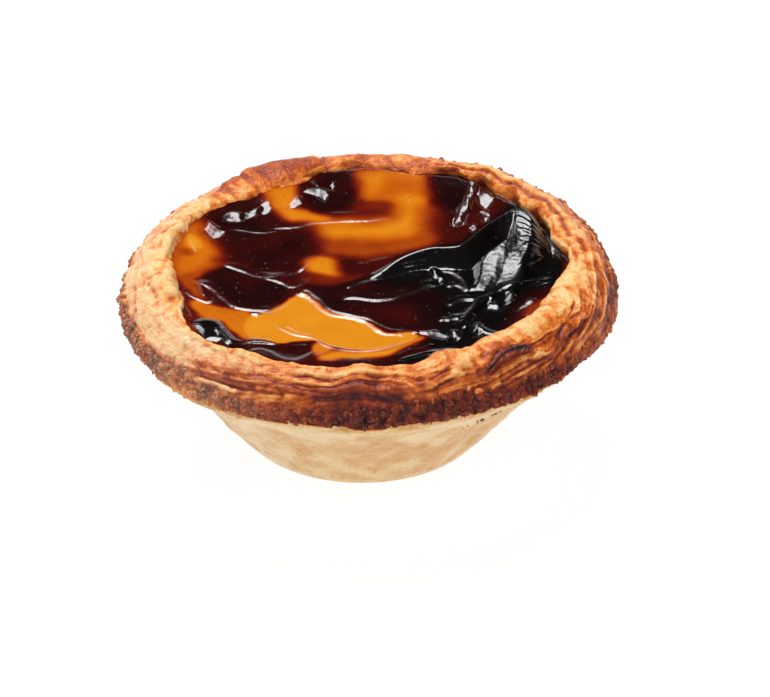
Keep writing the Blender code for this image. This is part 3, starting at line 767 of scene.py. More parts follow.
# Areas, folds and facets of the skin are placed as they are seen from the front, with the skin laid flat.
# Areas: (outline of (x, y) in mm, half the width of its soft edge, scorching, how far its level sinks).
SKIN_AREAS = (
    # The caramel-coloured middle, which the other areas lie on.
    (((-30, 8), (-22, 22), (-8, 31), (8, 31), (22, 24), (31, 8), (31, -8), (22, -24), (8, -31),
      (-8, -31), (-22, -24), (-30, -8)), 1.0, 0.79, 0.0),
    # Yellow and amber custard.
    (((-2.4, 30.6), (3, 30.8), (8.6, 29.6), (9.2, 24), (8.6, 19.5), (3.6, 20.2), (-1.6, 20.8), (-2.6, 25)),
     1.4, 0.36, 0.0),
    (((-7.9, 14.4), (-4, 14.6), (0, 14.4), (3, 15.6), (3.4, 18.6), (3.2, 22), (3.6, 27),
      (6, 29.4), (8.6, 28.8), (9.0, 24), (9.0, 18), (8.8, 12), (8.4, 8.2), (6.4, 5.6), (2, 4.8),
      (-3, 4.6), (-6.6, 6.2), (-8.8, 9.0), (-9.0, 12)), 3.0, 0.14, 0.15),
    (((-1.8, 28.6), (1.8, 29.2), (2.6, 26), (2.2, 22.6), (0.6, 20.9), (-1.6, 21.4)), 1.2, 0.20, 0.05),
    (((-7.0, 8.6), (-3, 8.9), (2, 8.8), (6, 9.4), (9.4, 10.6), (9, 7), (5, 4.6), (0, 3.8), (-6, 4.6)),
     1.8, 0.46, 0.0),
    (((3.6, 27.6), (6.5, 28.0), (9.2, 26.8), (9.2, 23), (5, 22.4), (1.4, 21.0), (-0.4, 21.6), (1.8, 23.6)),
     1.4, 0.34, 0.0),
    (((-17.4, 24.3), (-13.6, 26.0), (-11.4, 25.4), (-11.2, 21.6), (-12.0, 18.4), (-9.5, 17.4),
      (-6.8, 15.7), (-6.4, 14.3), (-10.5, 13.9), (-13.4, 15.1), (-15.2, 18), (-16.6, 21)), 1.0, 0.16, 0.0),
    (((-30.4, 8), (-28.8, 12.9), (-26, 13.4), (-25.0, 10.4), (-23.4, 7.8), (-21.8, 4.8), (-21.6, 1.9),
      (-23.5, -0.3), (-26, -2.2), (-28.6, -4.6), (-30.4, -1)), 2.4, 0.26, 0.0),
    (((-28.8, -4), (-26, -2), (-25, -3.5), (-25.8, -6), (-24.5, -9.5), (-26, -9), (-27.8, -6.5)),
     0.8, 0.45, 0.0),
    (((-10.4, 0.4), (-9.5, 2.6), (-7.3, 3.3), (-5.0, 1.7), (-4.9, -1), (-4.2, -3.2), (-5.6, -3.9),
      (-8, -2.8), (-9.9, -1.4)), 1.1, 0.14, -0.08),
    (((-18, -13.0), (-22, -12.1), (-25.8, -9.8), (-27.2, -11.6), (-26.2, -14.0), (-24.2, -15.6),
      (-21.2, -18), (-19.0, -20.8), (-17, -21), (-16, -17)), 0.8, 0.24, 0.05),
    (((-12.5, -10.3), (-11, -8.4), (-9.6, -8.3), (-7.5, -10.8), (-5.8, -13.5), (-3, -14.8),
      (-0.5, -16.2), (1, -18.6), (3.5, -19.6), (6.2, -19.2), (7.2, -20.2), (5.6, -22), (3, -23.6),
      (-1, -24.3), (-4, -24), (-6, -23), (-8, -21.6), (-12, -21.9), (-15, -21.7), (-18, -20),
      (-18.7, -17), (-17.4, -14.4), (-14.5, -13)), 0.4, 0.07, 0.18),
    (((-29.0, 5.4), (-27.2, 5.4), (-27.0, 3.4), (-28.8, 3.2)), 0.8, 0.46, 0.0),
    # A patch of lighter yellow on the left: a painted highlight.
    (((-28.2, 9.6), (-26.6, 9.4), (-25.8, 6.4), (-26.8, 5.4), (-28.0, 7.0)), 0.7, 0.04, 0.0),
    (((-7.4, -22.2), (-8.6, -23.5), (-8, -25.6), (-6, -24.8), (-5.6, -23.5)), 0.6, 0.20, 0.0),
    (((-7.4, -25.8), (-5.5, -24.7), (-2, -24.7), (2, -24.1), (5, -22.6), (6.8, -20.6),
      (8, -20.8), (6, -23.5), (3, -25.6), (0, -26.6), (-4, -26.9), (-7, -27.4)), 0.8, 0.10, 0.1),
    (((19, -7), (22, -6.4), (26, -7), (27.4, -9.6), (26, -11.4), (23, -14.6), (20, -19), (17, -20),
      (16, -15)), 1.2, 0.86, 0.0),
    (((27.6, -9.5), (25.6, -10), (23.4, -12.5), (22.6, -15), (24, -16), (26.5, -14.5), (28.4, -11)),
     0.9, 0.55, 0.0),
    (((20, -20), (22.6, -17), (24.4, -16.6), (23.6, -19), (21.5, -21)), 0.8, 0.32, 0.0),
    (((28.4, 0.5), (30.4, 1.5), (31.4, -2), (31, -7), (29, -7.4), (28.4, -3)), 0.9, 0.50, 0.0),
    # Red-brown and maroon pools of caramel.
    (((-6, 16.9), (0, 16.9), (2.6, 17.3), (3.4, 19.4), (2.2, 20.3), (0, 20.4), (-3, 20.6), (-6, 20.5)),
     1.2, 0.60, 0.1),
    (((-22.6, 2), (-22, 5), (-23, 8), (-23, 12), (-23.6, 16.5), (-19, 22), (-17, 21.8), (-15.4, 17),
      (-14, 12.4), (-10, 12.3), (-8.4, 11), (-7.6, 7.5), (-8.5, 4), (-10.3, 1.5), (-11, -1.5),
      (-14, -2.3), (-17, -1.8), (-18.5, 0), (-21, 1.2)), 2.3, 0.86, 0.16),
    (((-24, -1.5), (-21, 0.5), (-18, -1.5), (-14.5, -3), (-12.8, -5), (-12, -7.5), (-13, -9.8),
      (-15, -11.9), (-18.5, -12.2), (-21, -10.5), (-22.5, -7.5), (-24.3, -4.5), (-26, -3.6)),
     0.8, 0.88, 0.1),
    (((-13, -4), (-10.8, -1), (-9.6, -2.6), (-9.8, -5), (-11.5, -6.4)), 0.7, 0.78, 0.1),
    (((-10.8, -1.2), (-8, -2.6), (-4.6, -3.2), (-1.5, -2.6), (-2.4, -4.6), (-6, -5.6), (-9.4, -5.2)),
     1.1, 0.62, 0.0),
    (((-9.6, -6), (-5, -6), (-3, -4.4), (0, -3.6), (4, -2.5), (12, -3), (16, -8), (14, -14),
      (10, -18), (7.4, -18.6), (4.5, -18.6), (2, -17.5), (0, -15.6), (-3, -14), (-5.7, -13),
      (-7.3, -10.3)), 0.6, 0.88, 0.05),
    (((-20.5, -23.5), (-18.5, -22.2), (-15.5, -21.9), (-12, -22.2), (-9, -22.2), (-8.4, -24),
      (-9.3, -26.2), (-11, -27.4), (-13, -27), (-15, -25.4), (-16.5, -24.8), (-18, -26.3),
      (-19.6, -25.8)), 0.6, 0.85, 0.2),
    (((-8.5, 17.5), (-9.5, 20), (-9.8, 23), (-8, 27), (-7, 31), (-5, 30.5), (-3.5, 30.5), (-2, 27),
      (-1.8, 22), (-2.3, 18.5), (-4, 17)), 1.9, 0.88, 0.1),
    (((9.8, 28), (11, 32), (17, 31), (16.6, 25), (15.2, 19), (13, 16.4), (10.8, 19.5), (9.7, 24)),
     2.0, 0.90, 0.1),
    (((-28.5, -7), (-27.5, -8.5), (-26.5, -12), (-25.4, -15.5), (-26.8, -16), (-28, -12)),
     0.6, 0.68, 0.0),
    (((-23.4, -15.6), (-21.8, -15.9), (-20.6, -18), (-19.8, -20.4), (-20.8, -20.8), (-22.2, -18)),
     0.7, 0.72, 0.0),
    (((-5, -28.4), (-3, -27), (1, -27.1), (4, -25.6), (7, -22), (9, -21.6), (8, -24.5), (4, -28.4),
      (1, -29)), 0.9, 0.84, 0.0),
    (((2, -14.0), (4.6, -12.6), (7.2, -13.4), (7.8, -15.4), (6.2, -17.2), (3.4, -17.0)), 1.8, 0.81, 0.0),
    # Burnt skin, with a nearly black edge where it meets the caramel.
    (((3, -5), (7, -4.6), (11, -6), (12, -12), (11, -18), (9, -18), (8, -14), (7, -9)), 2.2, 0.93, 0.0),
    (((-26, -17), (-24.5, -16), (-22.5, -16.4), (-21.6, -18.5), (-20.3, -21.5), (-19.4, -22.2),
      (-20.5, -24), (-22, -22.2), (-24, -21.8), (-25.2, -19.5)), 0.4, 1.0, -0.5),
    (((0, -3.8), (2, -1.4), (5, 2.6), (9, 5.6), (12, 6.2), (14, 7), (16.5, 10.4), (19, 14), (22, 18.6),
      (25.4, 18), (28, 13.4), (30, 6.5), (29.4, -2), (27, -6.5), (24, -8), (22, -11), (20.5, -15),
      (19, -19), (15.5, -23.4), (12.5, -25), (8.4, -23.4), (9.5, -20), (10.8, -15), (11, -9), (7, -5.6),
      (3, -5)), 1.0, 1.0, 0.0),
    (((3.6, -28.6), (6, -26.4), (9, -25), (14, -24.6), (14, -27), (9, -27), (6.5, -28.4)),
     0.35, 0.98, -0.1),
)

# Folds of the skin, which rise slowly from behind and drop at the front like the edge of a leaf:
# (points of (x, y), width behind, width in front, height, paleness of its lip, partly the thin edge's own
# colour and partly painted highlight).
SKIN_FOLDS = (
    (((-22, 1.2), (-21, 0.2), (-19, -1), (-17, -2.4), (-14.5, -2.6), (-12, -1.8), (-10.3, -0.4),
      (-9.2, 1.6)), 1.2, 0.55, 0.18, 0.3),
    (((-16.5, -2.6), (-14.6, -3.6), (-12.8, -4.9), (-11.6, -5.8), (-10.2, -4.8), (-9.4, -2.8)),
      1.2, 0.6, 0.24, 0.3),
    (((-26, -4), (-24.4, -5.4), (-23, -6.8), (-21.6, -9.4), (-20, -11.4), (-18, -12.3), (-15, -12.6),
      (-13.4, -11.3), (-12, -9.4)), 1.6, 0.8, 0.26, 0.5),
    (((-11.6, -8.0), (-9.6, -8.6), (-8, -10.6), (-6.4, -13.2), (-5.4, -14.2), (-3, -15), (-0.6, -16.2),
      (0.6, -18), (1.8, -19.4), (4, -19.7), (6.3, -19.2)), 0.8, 0.36, 0.13, 0.8),
    (((-10.6, -6.8), (-9, -7.2), (-7, -9.9), (-5.6, -12.6), (-3, -14.0), (0, -15.4), (2, -17.4),
      (4.4, -18.4), (6.6, -18.4)), 1.4, 0.5, 0.18, 0.3),
    (((-13, -10.9), (-14.5, -12.7), (-17.5, -14.2)), 0.5, 0.35, 0.12, 0.5),
    (((-13.4, -16.2), (-12.8, -18), (-11, -19.5), (-9, -20.3), (-7.6, -21.2), (-6.3, -23.2), (-4, -24.1),
      (-1, -24.3), (2, -23.6), (4.6, -22.2), (6.6, -20.4)), 0.5, 0.40, 0.16, 0.6),
    (((-12.4, -16.8), (-10.6, -18.6), (-8.2, -19.8)), 0.4, 0.35, 0.10, 0.4),
    (((-18, -26), (-17, -25), (-15.8, -24.4), (-14.5, -25.1), (-13.3, -26.5), (-12, -27.5), (-10.3, -27.7),
      (-8.4, -25.7), (-6.4, -24.2)), 0.6, 0.5, 0.24, 0.5),
    (((-16.4, 12.8), (-14, 12.1), (-11, 12.5), (-9, 13.6), (-6.6, 14.0), (-3, 14.1), (0.4, 14.4), (3, 15.3)),
      0.8, 0.35, 0.12, 0.4),
    (((-22, 12), (-19, 11.4), (-17.5, 10.8), (-15.5, 10.9), (-13.6, 11.8)), 0.8, 0.35, 0.12, 0.1),
    (((-26.6, -15.8), (-27.3, -13.6), (-28.1, -10.5), (-28.3, -7.4), (-27.6, -6.4)), 0.5, 0.5, 0.40, 0.5),
    (((-27.8, -7.2), (-26, -9.3), (-24.2, -10.4), (-23, -9.4)), 0.8, 0.5, 0.28, 0.4),
    (((-25.6, -4.6), (-25, -7), (-24.4, -9)), 0.5, 0.4, 0.22, 0.4),
    (((-22, -18.2), (-21, -20.6), (-20.2, -22.6), (-18.8, -22.4), (-16.5, -21.8), (-13, -21.9)),
      0.6, 0.5, 0.30, 0.2),
    (((-4.4, -9.6), (-2, -9.1), (1, -9.9), (4, -9.2), (6.1, -7.8), (7.7, -6.5), (8.9, -5.6), (10.5, -5.4)),
      1.5, 0.6, 0.34, 0.1),
    (((-3.6, -6.6), (-1.8, -4.9), (0.4, -3.7), (3.0, -2.4)), 1.0, 0.5, 0.22, 0.2),
    (((4.2, -0.6), (5.6, -0.1), (7.0, 0.4), (8.6, 0.7), (9.25, -0.5), (9.9, -1.5), (10.2, -3.0),
      (10.7, -4.6)), 0.8, 0.5, 0.30, 0.0),
    (((10.6, -1.5), (12.4, -1.8), (13.7, -3.1), (14.4, -5.0), (15.1, -7.6)), 1.0, 0.5, 0.22, 0.05),
    (((11.6, -6.0), (13.0, -5.4), (14.1, -6.3), (14.8, -7.6)), 0.7, 0.5, 0.22, 0.05),
    (((11.3, -11.5), (12.5, -10.5), (13.9, -9.6), (15.5, -9.6), (16.7, -10.5)), 1.2, 0.8, 0.32, 0.05),
    (((10.2, -15.6), (12.2, -15.4), (14.4, -14.3)), 0.7, 0.7, 0.20, 0.05),
    (((12.2, -18.9), (12.6, -20.6), (12.7, -21.8)), 0.5, 0.5, 0.24, 0.0),
    (((-2, 1), (0.4, 2.2), (3, 3.2)), 0.8, 0.4, 0.10, 0.2),
    (((-27.4, 8.8), (-26.8, 6.5), (-26.2, 4.4)), 0.5, 0.4, 0.14, 0.25),
    (((12.9, -21.6), (13.7, -18.9), (14.4, -16.3), (15.5, -13.1), (16.5, -11.2), (17.9, -9.6), (19.6, -7.6),
      (21.3, -6.2), (24.1, -5.4), (26.3, -4.6), (28.6, -4.2)), 0.9, 0.9, 0.62, 0.0),
    (((14.2, -19.0), (15.0, -16.6), (15.6, -14.4)), 0.4, 0.5, 0.28, 0.05),
    (((15.3, -21.2), (16.0, -17.4), (16.5, -18.3), (17.5, -19.6), (19.3, -20.5), (21.3, -21.8)),
      0.6, 0.6, 0.40, 0.0),
    (((17.2, 28.6), (16.6, 24.6), (15.6, 19.4), (14.4, 15.4), (14.2, 12.8)), 0.8, 1.3, 0.85, 0.0),
    (((4, -28.0), (6.4, -26.6), (8.4, -25.6), (10.4, -25.4), (12.8, -24.8)), 0.6, 0.6, 0.32, 0.0),
    (((3.6, -27.0), (6.0, -25.3), (8.2, -24.3), (9.6, -22.8)), 0.8, 0.6, 0.24, 0.0),
    # Wrinkles that fan out on the right of the blister's face.
    (((21.8, 16.4), (23.8, 15.4), (25.9, 12.1), (26.9, 9.8)), 0.5, 0.4, 0.36, 0.0),
    (((22.6, 14.7), (24.5, 12.7), (26.9, 8.9), (29.0, 3.7)), 0.5, 0.4, 0.36, 0.0),
    (((22.8, 13.0), (24.7, 11.0), (27.0, 7.2), (29.4, 2.4)), 0.4, 0.35, 0.30, 0.0),
    (((22.8, 11.4), (24.9, 9.5), (27.3, 5.6), (29.8, 1.1)), 0.5, 0.4, 0.36, 0.0),
    (((23.2, 8.8), (25.2, 7.4), (27.6, 4.2)), 0.4, 0.35, 0.30, 0.0),
    (((23.5, 6.3), (25.6, 5.6), (28.0, 3.0)), 0.5, 0.4, 0.36, 0.0),
    (((22.5, -0.2), (24.9, 1.1), (26.6, 3.0)), 0.5, 0.4, 0.32, 0.0),
)

# Wet facets that lean to the front and catch the light: (outline, lean in degrees, how wrinkled).
WET_FACETS = (
    (((-23.0, 14.4), (-22.2, 16.4), (-20.4, 17.0), (-19.2, 16.2), (-19.4, 14.8), (-21.2, 14.2)), 14.0, 0.16),
    (((-19.8, 16.8), (-18.6, 17.6), (-17.0, 19.0), (-16.6, 17.4), (-17.8, 15.6), (-19.6, 15.2)), 14.0, 0.16),
    (((-17.2, 19.2), (-15.4, 20.9), (-15.0, 18.6), (-15.6, 16.9), (-17.0, 16.6)), 15.0, 0.16),
    (((-24.8, 13.8), (-25.6, 11.4), (-24, 9), (-22.4, 10.8)), 16.0, 0.08),
    (((-9.9, 23.2), (-8.5, 24.4), (-6.4, 24.2), (-6.3, 22.4), (-6.9, 20.4), (-7.9, 21.4)), 16.0, 0.10),
    (((-9.2, 26.4), (-8.4, 26.6), (-8.0, 24.8), (-8.6, 24.6)), 16.0, 0.05),
    (((-5.7, 26.4), (-5.1, 26.2), (-5.2, 24.2), (-5.8, 24.4)), 16.0, 0.05),
    (((-13, 18), (-12.6, 19.8), (-11, 22), (-10.3, 20.4), (-10.2, 19.3), (-11.5, 18.2)), 14.0, 0.10),
    (((13.0, 12.8), (12.6, 15), (13.8, 18.0), (15.0, 19.8), (15.9, 19.6), (15.4, 15.8), (14.6, 13)),
      16.0, 0.18),
    (((15.1, 20.2), (15.6, 24.2), (16.5, 24.2), (16.1, 20.0)), 16.0, 0.12),
    (((15.8, 24.6), (16.3, 28.4), (17.0, 28.4), (16.7, 24.4)), 16.0, 0.12),
    (((17.4, 25), (16.8, 21.5), (17.7, 18), (19, 19), (19.6, 21), (18.4, 22.4)), 17.0, 0.12),
    (((15.2, 11.6), (16, 12.8), (16.6, 12), (16, 10.4)), 17.0, 0.08),
    (((17.2, 16.8), (18.4, 17.2), (18.9, 15.2), (17.8, 13.6)), 15.0, 0.2),
    (((-26.2, -17.6), (-25.2, -17.6), (-24.4, -19.2), (-24.1, -20.9), (-25.0, -20)), 17.0, 0.03),
    (((-22.8, -19.2), (-22.3, -19.2), (-22, -20.7), (-22.4, -20.9)), 17.0, 0.03),
    (((19.8, -11.8), (20.3, -9.9), (21.3, -8.6), (22.0, -9.6), (21.0, -11.2)), 15.0, 0.10),
    (((21.7, -13.3), (22.7, -11.8), (24.1, -9.9), (24.9, -10.2), (24.1, -11.8), (22.7, -12.8)), 15.0, 0.14),
    (((25.4, -10.4), (26.3, -10.6), (26.2, -11.8), (25.5, -11.6)), 16.0, 0.10),
    (((22.7, -16.4), (23.4, -15.0), (24.8, -15.6), (24.4, -16.8), (23.2, -17.3)), 14.0, 0.20),
    (((18.1, -10.6), (18.8, -10.6), (18.6, -11.3)), 17.0, 0.05),
    (((4.2, -20.9), (4.5, -20), (5, -20.4)), 17.0, 0.02),
    (((7.6, -19.2), (9.6, -19.2), (11.4, -20.6), (10.8, -21.4), (8.8, -20.6)), 13.0, 0.14),
    (((9.6, -1.3), (10.2, -1.8), (10.9, -4.4), (10.5, -5.2), (10.0, -3.6)), 15.0, 0.10),
    (((15.6, -20.6), (15.9, -17.6), (16.5, -18.4), (16.9, -20.6)), 12.0, 0.20),
    (((12.0, -19.0), (12.9, -19.4), (13.0, -21.6), (12.4, -22.0)), 12.0, 0.16),
)

# The blister's back edge, and the middle line of the face that bulges to its front:
# (x, y, height over the skin's level, how far its front reaches).
BLISTER_EDGE = (
    (0.0, -3.6, 0.0, 0.6), (2.0, -2.4, 0.6, 1.2), (5.0, 0.3, 1.4, 2.2), (9.0, 2.0, 2.1, 2.9),
    (12.0, 2.0, 2.3, 3.2), (14.0, 2.3, 2.5, 3.5), (16.5, 5.2, 2.9, 4.0), (19.0, 8.3, 3.2, 4.6),
    (22.0, 11.2, 3.6, 8.0), (24.4, 11.6, 3.3, 7.5), (26.4, 9.0, 2.0, 2.6), (28.4, 5.4, 0.5, 1.2),
    (30.0, 0.0, 0.0, 1.4),
)
BLISTER_FACE = (
    (22.6, 10.8, 3.5, 0.9), (22.2, 5.2, 2.5, 1.3), (21.2, 0.6, 1.75, 3.3), (19.9, -3.4, 0.9, 3.9),
    (18.6, -8.4, 0.1, 2.6),
)


# Broad soft edges blend even further in colour than in level.
BROAD_EDGE = 0.8
BROAD_BLEND = 1.25
# How far a raised point seems to move back on the flat skin, for each mm that it rises.
SEEN_BACK = 1.58


def inside(x, y, outline, soft):
    """1 inside a closed smooth outline and 0 outside it, across a soft edge."""
    closed = tuple(outline) + (outline[0],)
    away, _ = off_line(x, y, closed, 2)
    line = through(closed, 2)
    within = np.zeros(np.shape(x), bool)
    for start, end in zip(line, line[1:]):
        if start[1] != end[1]:
            crosses = (start[1] > y) != (end[1] > y)
            reach = start[0] + (y - start[1]) * (end[0] - start[0]) / (end[1] - start[1])
            within ^= crosses & (x < reach)
    return smooth_step(np.where(within, np.abs(away), -np.abs(away)), -soft, soft)


def off_ridge(x, y, ridge):
    """What off_line gives for a ridge of (x, y, height, reach) points, with its height and reach there."""
    line = through(ridge, 4)
    away, share = off_line(x, y, [point[:2] for point in ridge], 4)
    passed = share * (len(line) - 1)
    height, reach = (np.interp(passed, np.arange(len(line)), line[:, column]) for column in (2, 3))
    return away, share, height, reach


def blister_rise(x, y):
    """The height of the blister: a steep back, a front that drops steeply on the left, and a bulging face."""
    away, _, height, reach = off_ridge(x, y, BLISTER_EDGE)
    back = 1.0 - smooth_step(-away, 0.0, 1.6)
    front = 1.0 - np.sqrt(away**2 + 0.03) / reach + 0.17 / reach
    tent = height * np.where(away > 0.0, 0.5 * (front + np.sqrt(front**2 + 0.004)), back)
    aside, share, height, wide = off_ridge(x, y, BLISTER_FACE)
    aside = aside + 0.9 * cloud(x / 6, y / 4, 0.5, 53) + 0.25 * cloud(x / 1.4, y / 3, 0.5, 54)
    swell = np.interp(aside, (-6.0, -3.2, -0.2, 1.2, 3.4), (0.0, 0.34, 0.06, 0.20, 0.0))
    towards_middle = 1.0 - smooth_step(aside, wide - 0.7, wide + 0.7)
    towards_rim = 1.0 - smooth_step(-aside, 1.8, 6.0)
    bulge = (height + swell) * np.where(aside > 0.0, towards_middle, towards_rim)
    bulge = np.where((away > 0.0) | (share > 0.5), bulge, 0.0)
    return 0.5 * (tent + bulge + np.sqrt((tent - bulge) ** 2 + 0.02)) - 0.07


def skin_form(x, y):
    """The skin's height over its level, its scorching, the paleness of its fold lips (partly painted
    highlight), and how dull it is.
    """
    rise = blister_rise(x, y)
    seen_y = y + SEEN_BACK * rise
    warp_x = x + 0.40 * cloud(x / 2.6, y / 2.6, 0.5, 41) + 0.07 * cloud(x / 0.8, y / 0.8, 0.5, 42)
    warp_y = seen_y + 0.40 * cloud(x / 2.6, y / 2.6, 7.5, 43) + 0.07 * cloud(x / 0.8, y / 0.8, 7.5, 44)
    height = rise + 0.10 * cloud(x / 6, y / 6, 1.5, 45)
    scorch = np.full(np.shape(x), 0.5)
    pale = np.zeros(np.shape(x))
    syrupy = np.zeros(np.shape(x))
    for outline, soft, scorching, sink in SKIN_AREAS:
        area = inside(warp_x, warp_y, outline, soft * BROAD_BLEND if soft > BROAD_EDGE else soft)
        scorch = scorch + area * (scorching - scorch)
        if sink:
            height = height - sink * inside(x, seen_y, outline, max(0.6 * soft, 0.9))
    for points, behind, before, lift, paleness in SKIN_FOLDS:
        away, share = off_line(0.5 * (x + warp_x), 0.5 * (seen_y + warp_y), points)
        ends = smooth_step(share, -0.02, 0.14) * (1.0 - smooth_step(share, 0.86, 1.02))
        uneven = 0.85 + 0.35 * cloud(x / 2.8, y / 2.8, 3.5, 49)
        front = np.clip(1.0 - (np.maximum(away, 0.0) / before) ** 3.0, 0.0, 1.0)
        fold = np.where(away < 0.0, np.exp(-((away / behind) ** 2)), front)
        height = height + 0.6 * lift * uneven * fold * ends
        # Each lip is painted paler: partly the thin skin's own edge, partly a painted highlight.
        lip = np.exp(-(((away - 0.9 * before) / 0.17) ** 2)) * ends
        pale = np.maximum(pale, paleness * lip * np.clip(uneven, 0.0, 1.2))
        if paleness:
            syrupy = np.maximum(syrupy, ends * np.exp(-(((away - 0.6 * before) / 0.35) ** 2)))
    pale = pale * (1.0 - smooth_step(scorch, 0.35, 0.80))
    leaning = np.zeros(np.shape(x))
    for outline, lean, wrinkled in WET_FACETS:
        middle = np.mean(outline, axis=0)
        facet = inside(warp_x, warp_y, outline, 0.35)
        crinkle = 0.6 * wrinkled * (cloud(x / 1.2, y / 1.6, 2.5, 46) + 0.3 * cloud(x / 0.5, y / 0.6, 4.5, 50))
        leaning = np.maximum(leaning, facet)
        height = height + facet * (math.tan(math.radians(lean)) * (seen_y - middle[1]) * 0.9 + crinkle)
    # Crumpled skin under the blister.
    crumpled = np.exp(-(((x - 12.2) / 2.6) ** 2) - ((seen_y + 16.0) / 4.2) ** 2)
    height = height + crumpled * 0.12 * np.abs(billow(x / 1.3, y / 1.9, 0.5, 55, 3))
    # Fine creases that run down the blister's face.
    burnt = smooth_step(scorch, 0.93, 0.99)
    dull = burnt + 3.0 * leaning + 3.0 * syrupy * (1.0 - leaning)
    face, _ = off_line(x, y, [point[:2] for point in BLISTER_FACE])
    creased = burnt * (1.0 - smooth_step(np.abs(face), 2.6, 4.2)) * smooth_step(y, -8.0, -5.0)
    creases = 0.045 * billow(face / 0.7, y / 4.0, 0.5, 47, 2) + 0.03 * cloud(x / 0.5, y / 0.6, 0.5, 48)
    height = height + creased * creases
    # The skin is dried out and dull where it meets the rim on the right.
    dried = 6.0 * burnt * np.exp(-(((x - 27.8) / 1.6) ** 2) - ((seen_y - 8.0) / 3.0) ** 2)
    return height, np.clip(scorch, 0.0, 1.0), pale, dull + 2.0 * creased + dried


# The points of a square grid are moved out to a round one.
across, up = np.meshgrid(*[np.linspace(-1.0, 1.0, SKIN_CELLS + 1)] * 2)
round_x, round_y = across * np.sqrt(1.0 - up**2 / 2.0), up * np.sqrt(1.0 - across**2 / 2.0)
share, direction = np.hypot(round_x, round_y), np.arctan2(round_y, round_x)
skin_edge = round_the_rim(np.degrees(direction) % 360.0, 4) + 1.1
skin_x, skin_y = share * skin_edge * np.cos(direction), share * skin_edge * np.sin(direction)
skin_height, skin_scorch, skin_pale_lip_highlight, skin_dull = skin_form(skin_x, skin_y)
climb = smooth_step(share, 0.82, 1.0)
skin_height = skin_height + climb * (0.35 - 0.7 * skin_height)
# The custard climbs to the crust, and yellow custard browns where it touches it.
in_patches = np.clip(0.6 + 0.9 * cloud(skin_x / 3, skin_y / 3, 0.5, 52), 0.0, 1.0)
at_crust = smooth_step(share, 0.94, 0.985) * in_patches
skin_scorch = skin_scorch + at_crust * np.clip(0.64 - skin_scorch, 0.0, 1.0)
skin_z = SKIN_LEVEL + skin_height

index = np.arange((SKIN_CELLS + 1) ** 2).reshape(SKIN_CELLS + 1, -1)
quads = np.stack([index[:-1, :-1], index[:-1, 1:], index[1:, 1:], index[1:, :-1]], axis=-1).reshape(-1, 4)
border = np.concatenate([index[0, :-1], index[:-1, -1], index[-1, :0:-1], index[:0:-1, 0]])
top = np.stack([skin_x, skin_y, skin_z], axis=-1).reshape(-1, 3)
# Under the crust's lip the custard tapers to a base that nothing shows.
below = top[border] * (0.93, 0.93, 0.0) + (0.0, 0.0, BASE_LEVEL)
base_ring = len(top) + np.arange(len(below))
base_ahead = np.roll(base_ring, -1)
skirt = np.stack([border, base_ring, base_ahead, np.roll(border, -1)], axis=-1)
middle = len(top) + len(below)
base = [[middle, b, a] for a, b in zip(base_ring, base_ahead)]
custard_mesh = mesh_of(
    "custard", np.vstack([top, below, [[0.0, 0.0, BASE_LEVEL]]]), quads.tolist() + skirt.tolist() + base
)
hidden = np.zeros(len(below) + 1)
note_on(custard_mesh, "scorch", np.concatenate([skin_scorch.ravel(), hidden + 0.2]))
note_on(custard_mesh, "pale", np.concatenate([skin_pale_lip_highlight.ravel(), hidden]))
note_on(custard_mesh, "dull", np.concatenate([skin_dull.ravel(), hidden]))
custard = add_piece("custard", custard_mesh)

# Baked egg custard under a caramelised skin: opaque yellow where it is only set, clear and red-brown
# where its sugar has browned, black where it is burnt, and wet with syrup all over.
SCORCHED_COLOURS = (
    (0.00, "#E2951F"), (0.12, "#DA8413"), (0.26, "#CC690A"), (0.40, "#B04A06"), (0.52, "#8E2D05"),
    (0.64, "#681405"), (0.76, "#440804"), (0.88, "#220303"), (1.00, "#040101"),
)
set_custard, tree, shader = new_material("scorched_egg_custard")
place = add_node(tree, "ShaderNodeTexCoord").outputs["Object"]
scorch = add_node(tree, "ShaderNodeAttribute", attribute_name="scorch").outputs["Fac"]
pale = add_node(tree, "ShaderNodeAttribute", attribute_name="pale").outputs["Fac"]
mottle = add_node(tree, "ShaderNodeTexNoise", {"Vector": place, "Scale": 190.0, "Detail": 2.0})
uneven = add_node(
    tree, "ShaderNodeMath", {0: mottle.outputs["Fac"], 1: 0.18, 2: -0.09}, operation="MULTIPLY_ADD"
)
burnt = add_node(tree, "ShaderNodeMath", {0: scorch, 1: uneven.outputs[0]}, operation="ADD")
colour = add_node(tree, "ShaderNodeValToRGB", {"Fac": burnt.outputs[0]})
set_stops(colour.color_ramp, SCORCHED_COLOURS)
# The lips' pale colour, partly a painted highlight, is mixed over the scorched colour.
lip_highlight_mixed = add_node(
    tree, "ShaderNodeMix", {0: pale, 6: colour.outputs[0], 7: paint("#E6B08A")}, data_type="RGBA"
)
tree.links.new(lip_highlight_mixed.outputs[2], shader.inputs["Base Color"])
ripple = add_node(tree, "ShaderNodeTexNoise", {"Vector": place, "Scale": 1400.0, "Detail": 2.0})
wet = add_node(
    tree, "ShaderNodeMath", {0: ripple.outputs["Fac"], 1: 0.08, 2: 0.05}, operation="MULTIPLY_ADD"
)
dull = add_node(tree, "ShaderNodeAttribute", attribute_name="dull").outputs["Fac"]
dulled = add_node(tree, "ShaderNodeMath", {0: dull, 1: 0.04, 2: wet.outputs[0]}, operation="MULTIPLY_ADD")
tree.links.new(dulled.outputs[0], shader.inputs["Roughness"])
rippled = add_node(
    tree, "ShaderNodeBump", {"Height": ripple.outputs["Fac"], "Strength": 0.08, "Distance": 0.0003}
)
tree.links.new(rippled.outputs[0], shader.inputs["Normal"])
shader.inputs["Subsurface Weight"].default_value = 0.15
shader.inputs["Subsurface Radius"].default_value = (1.0, 0.35, 0.08)
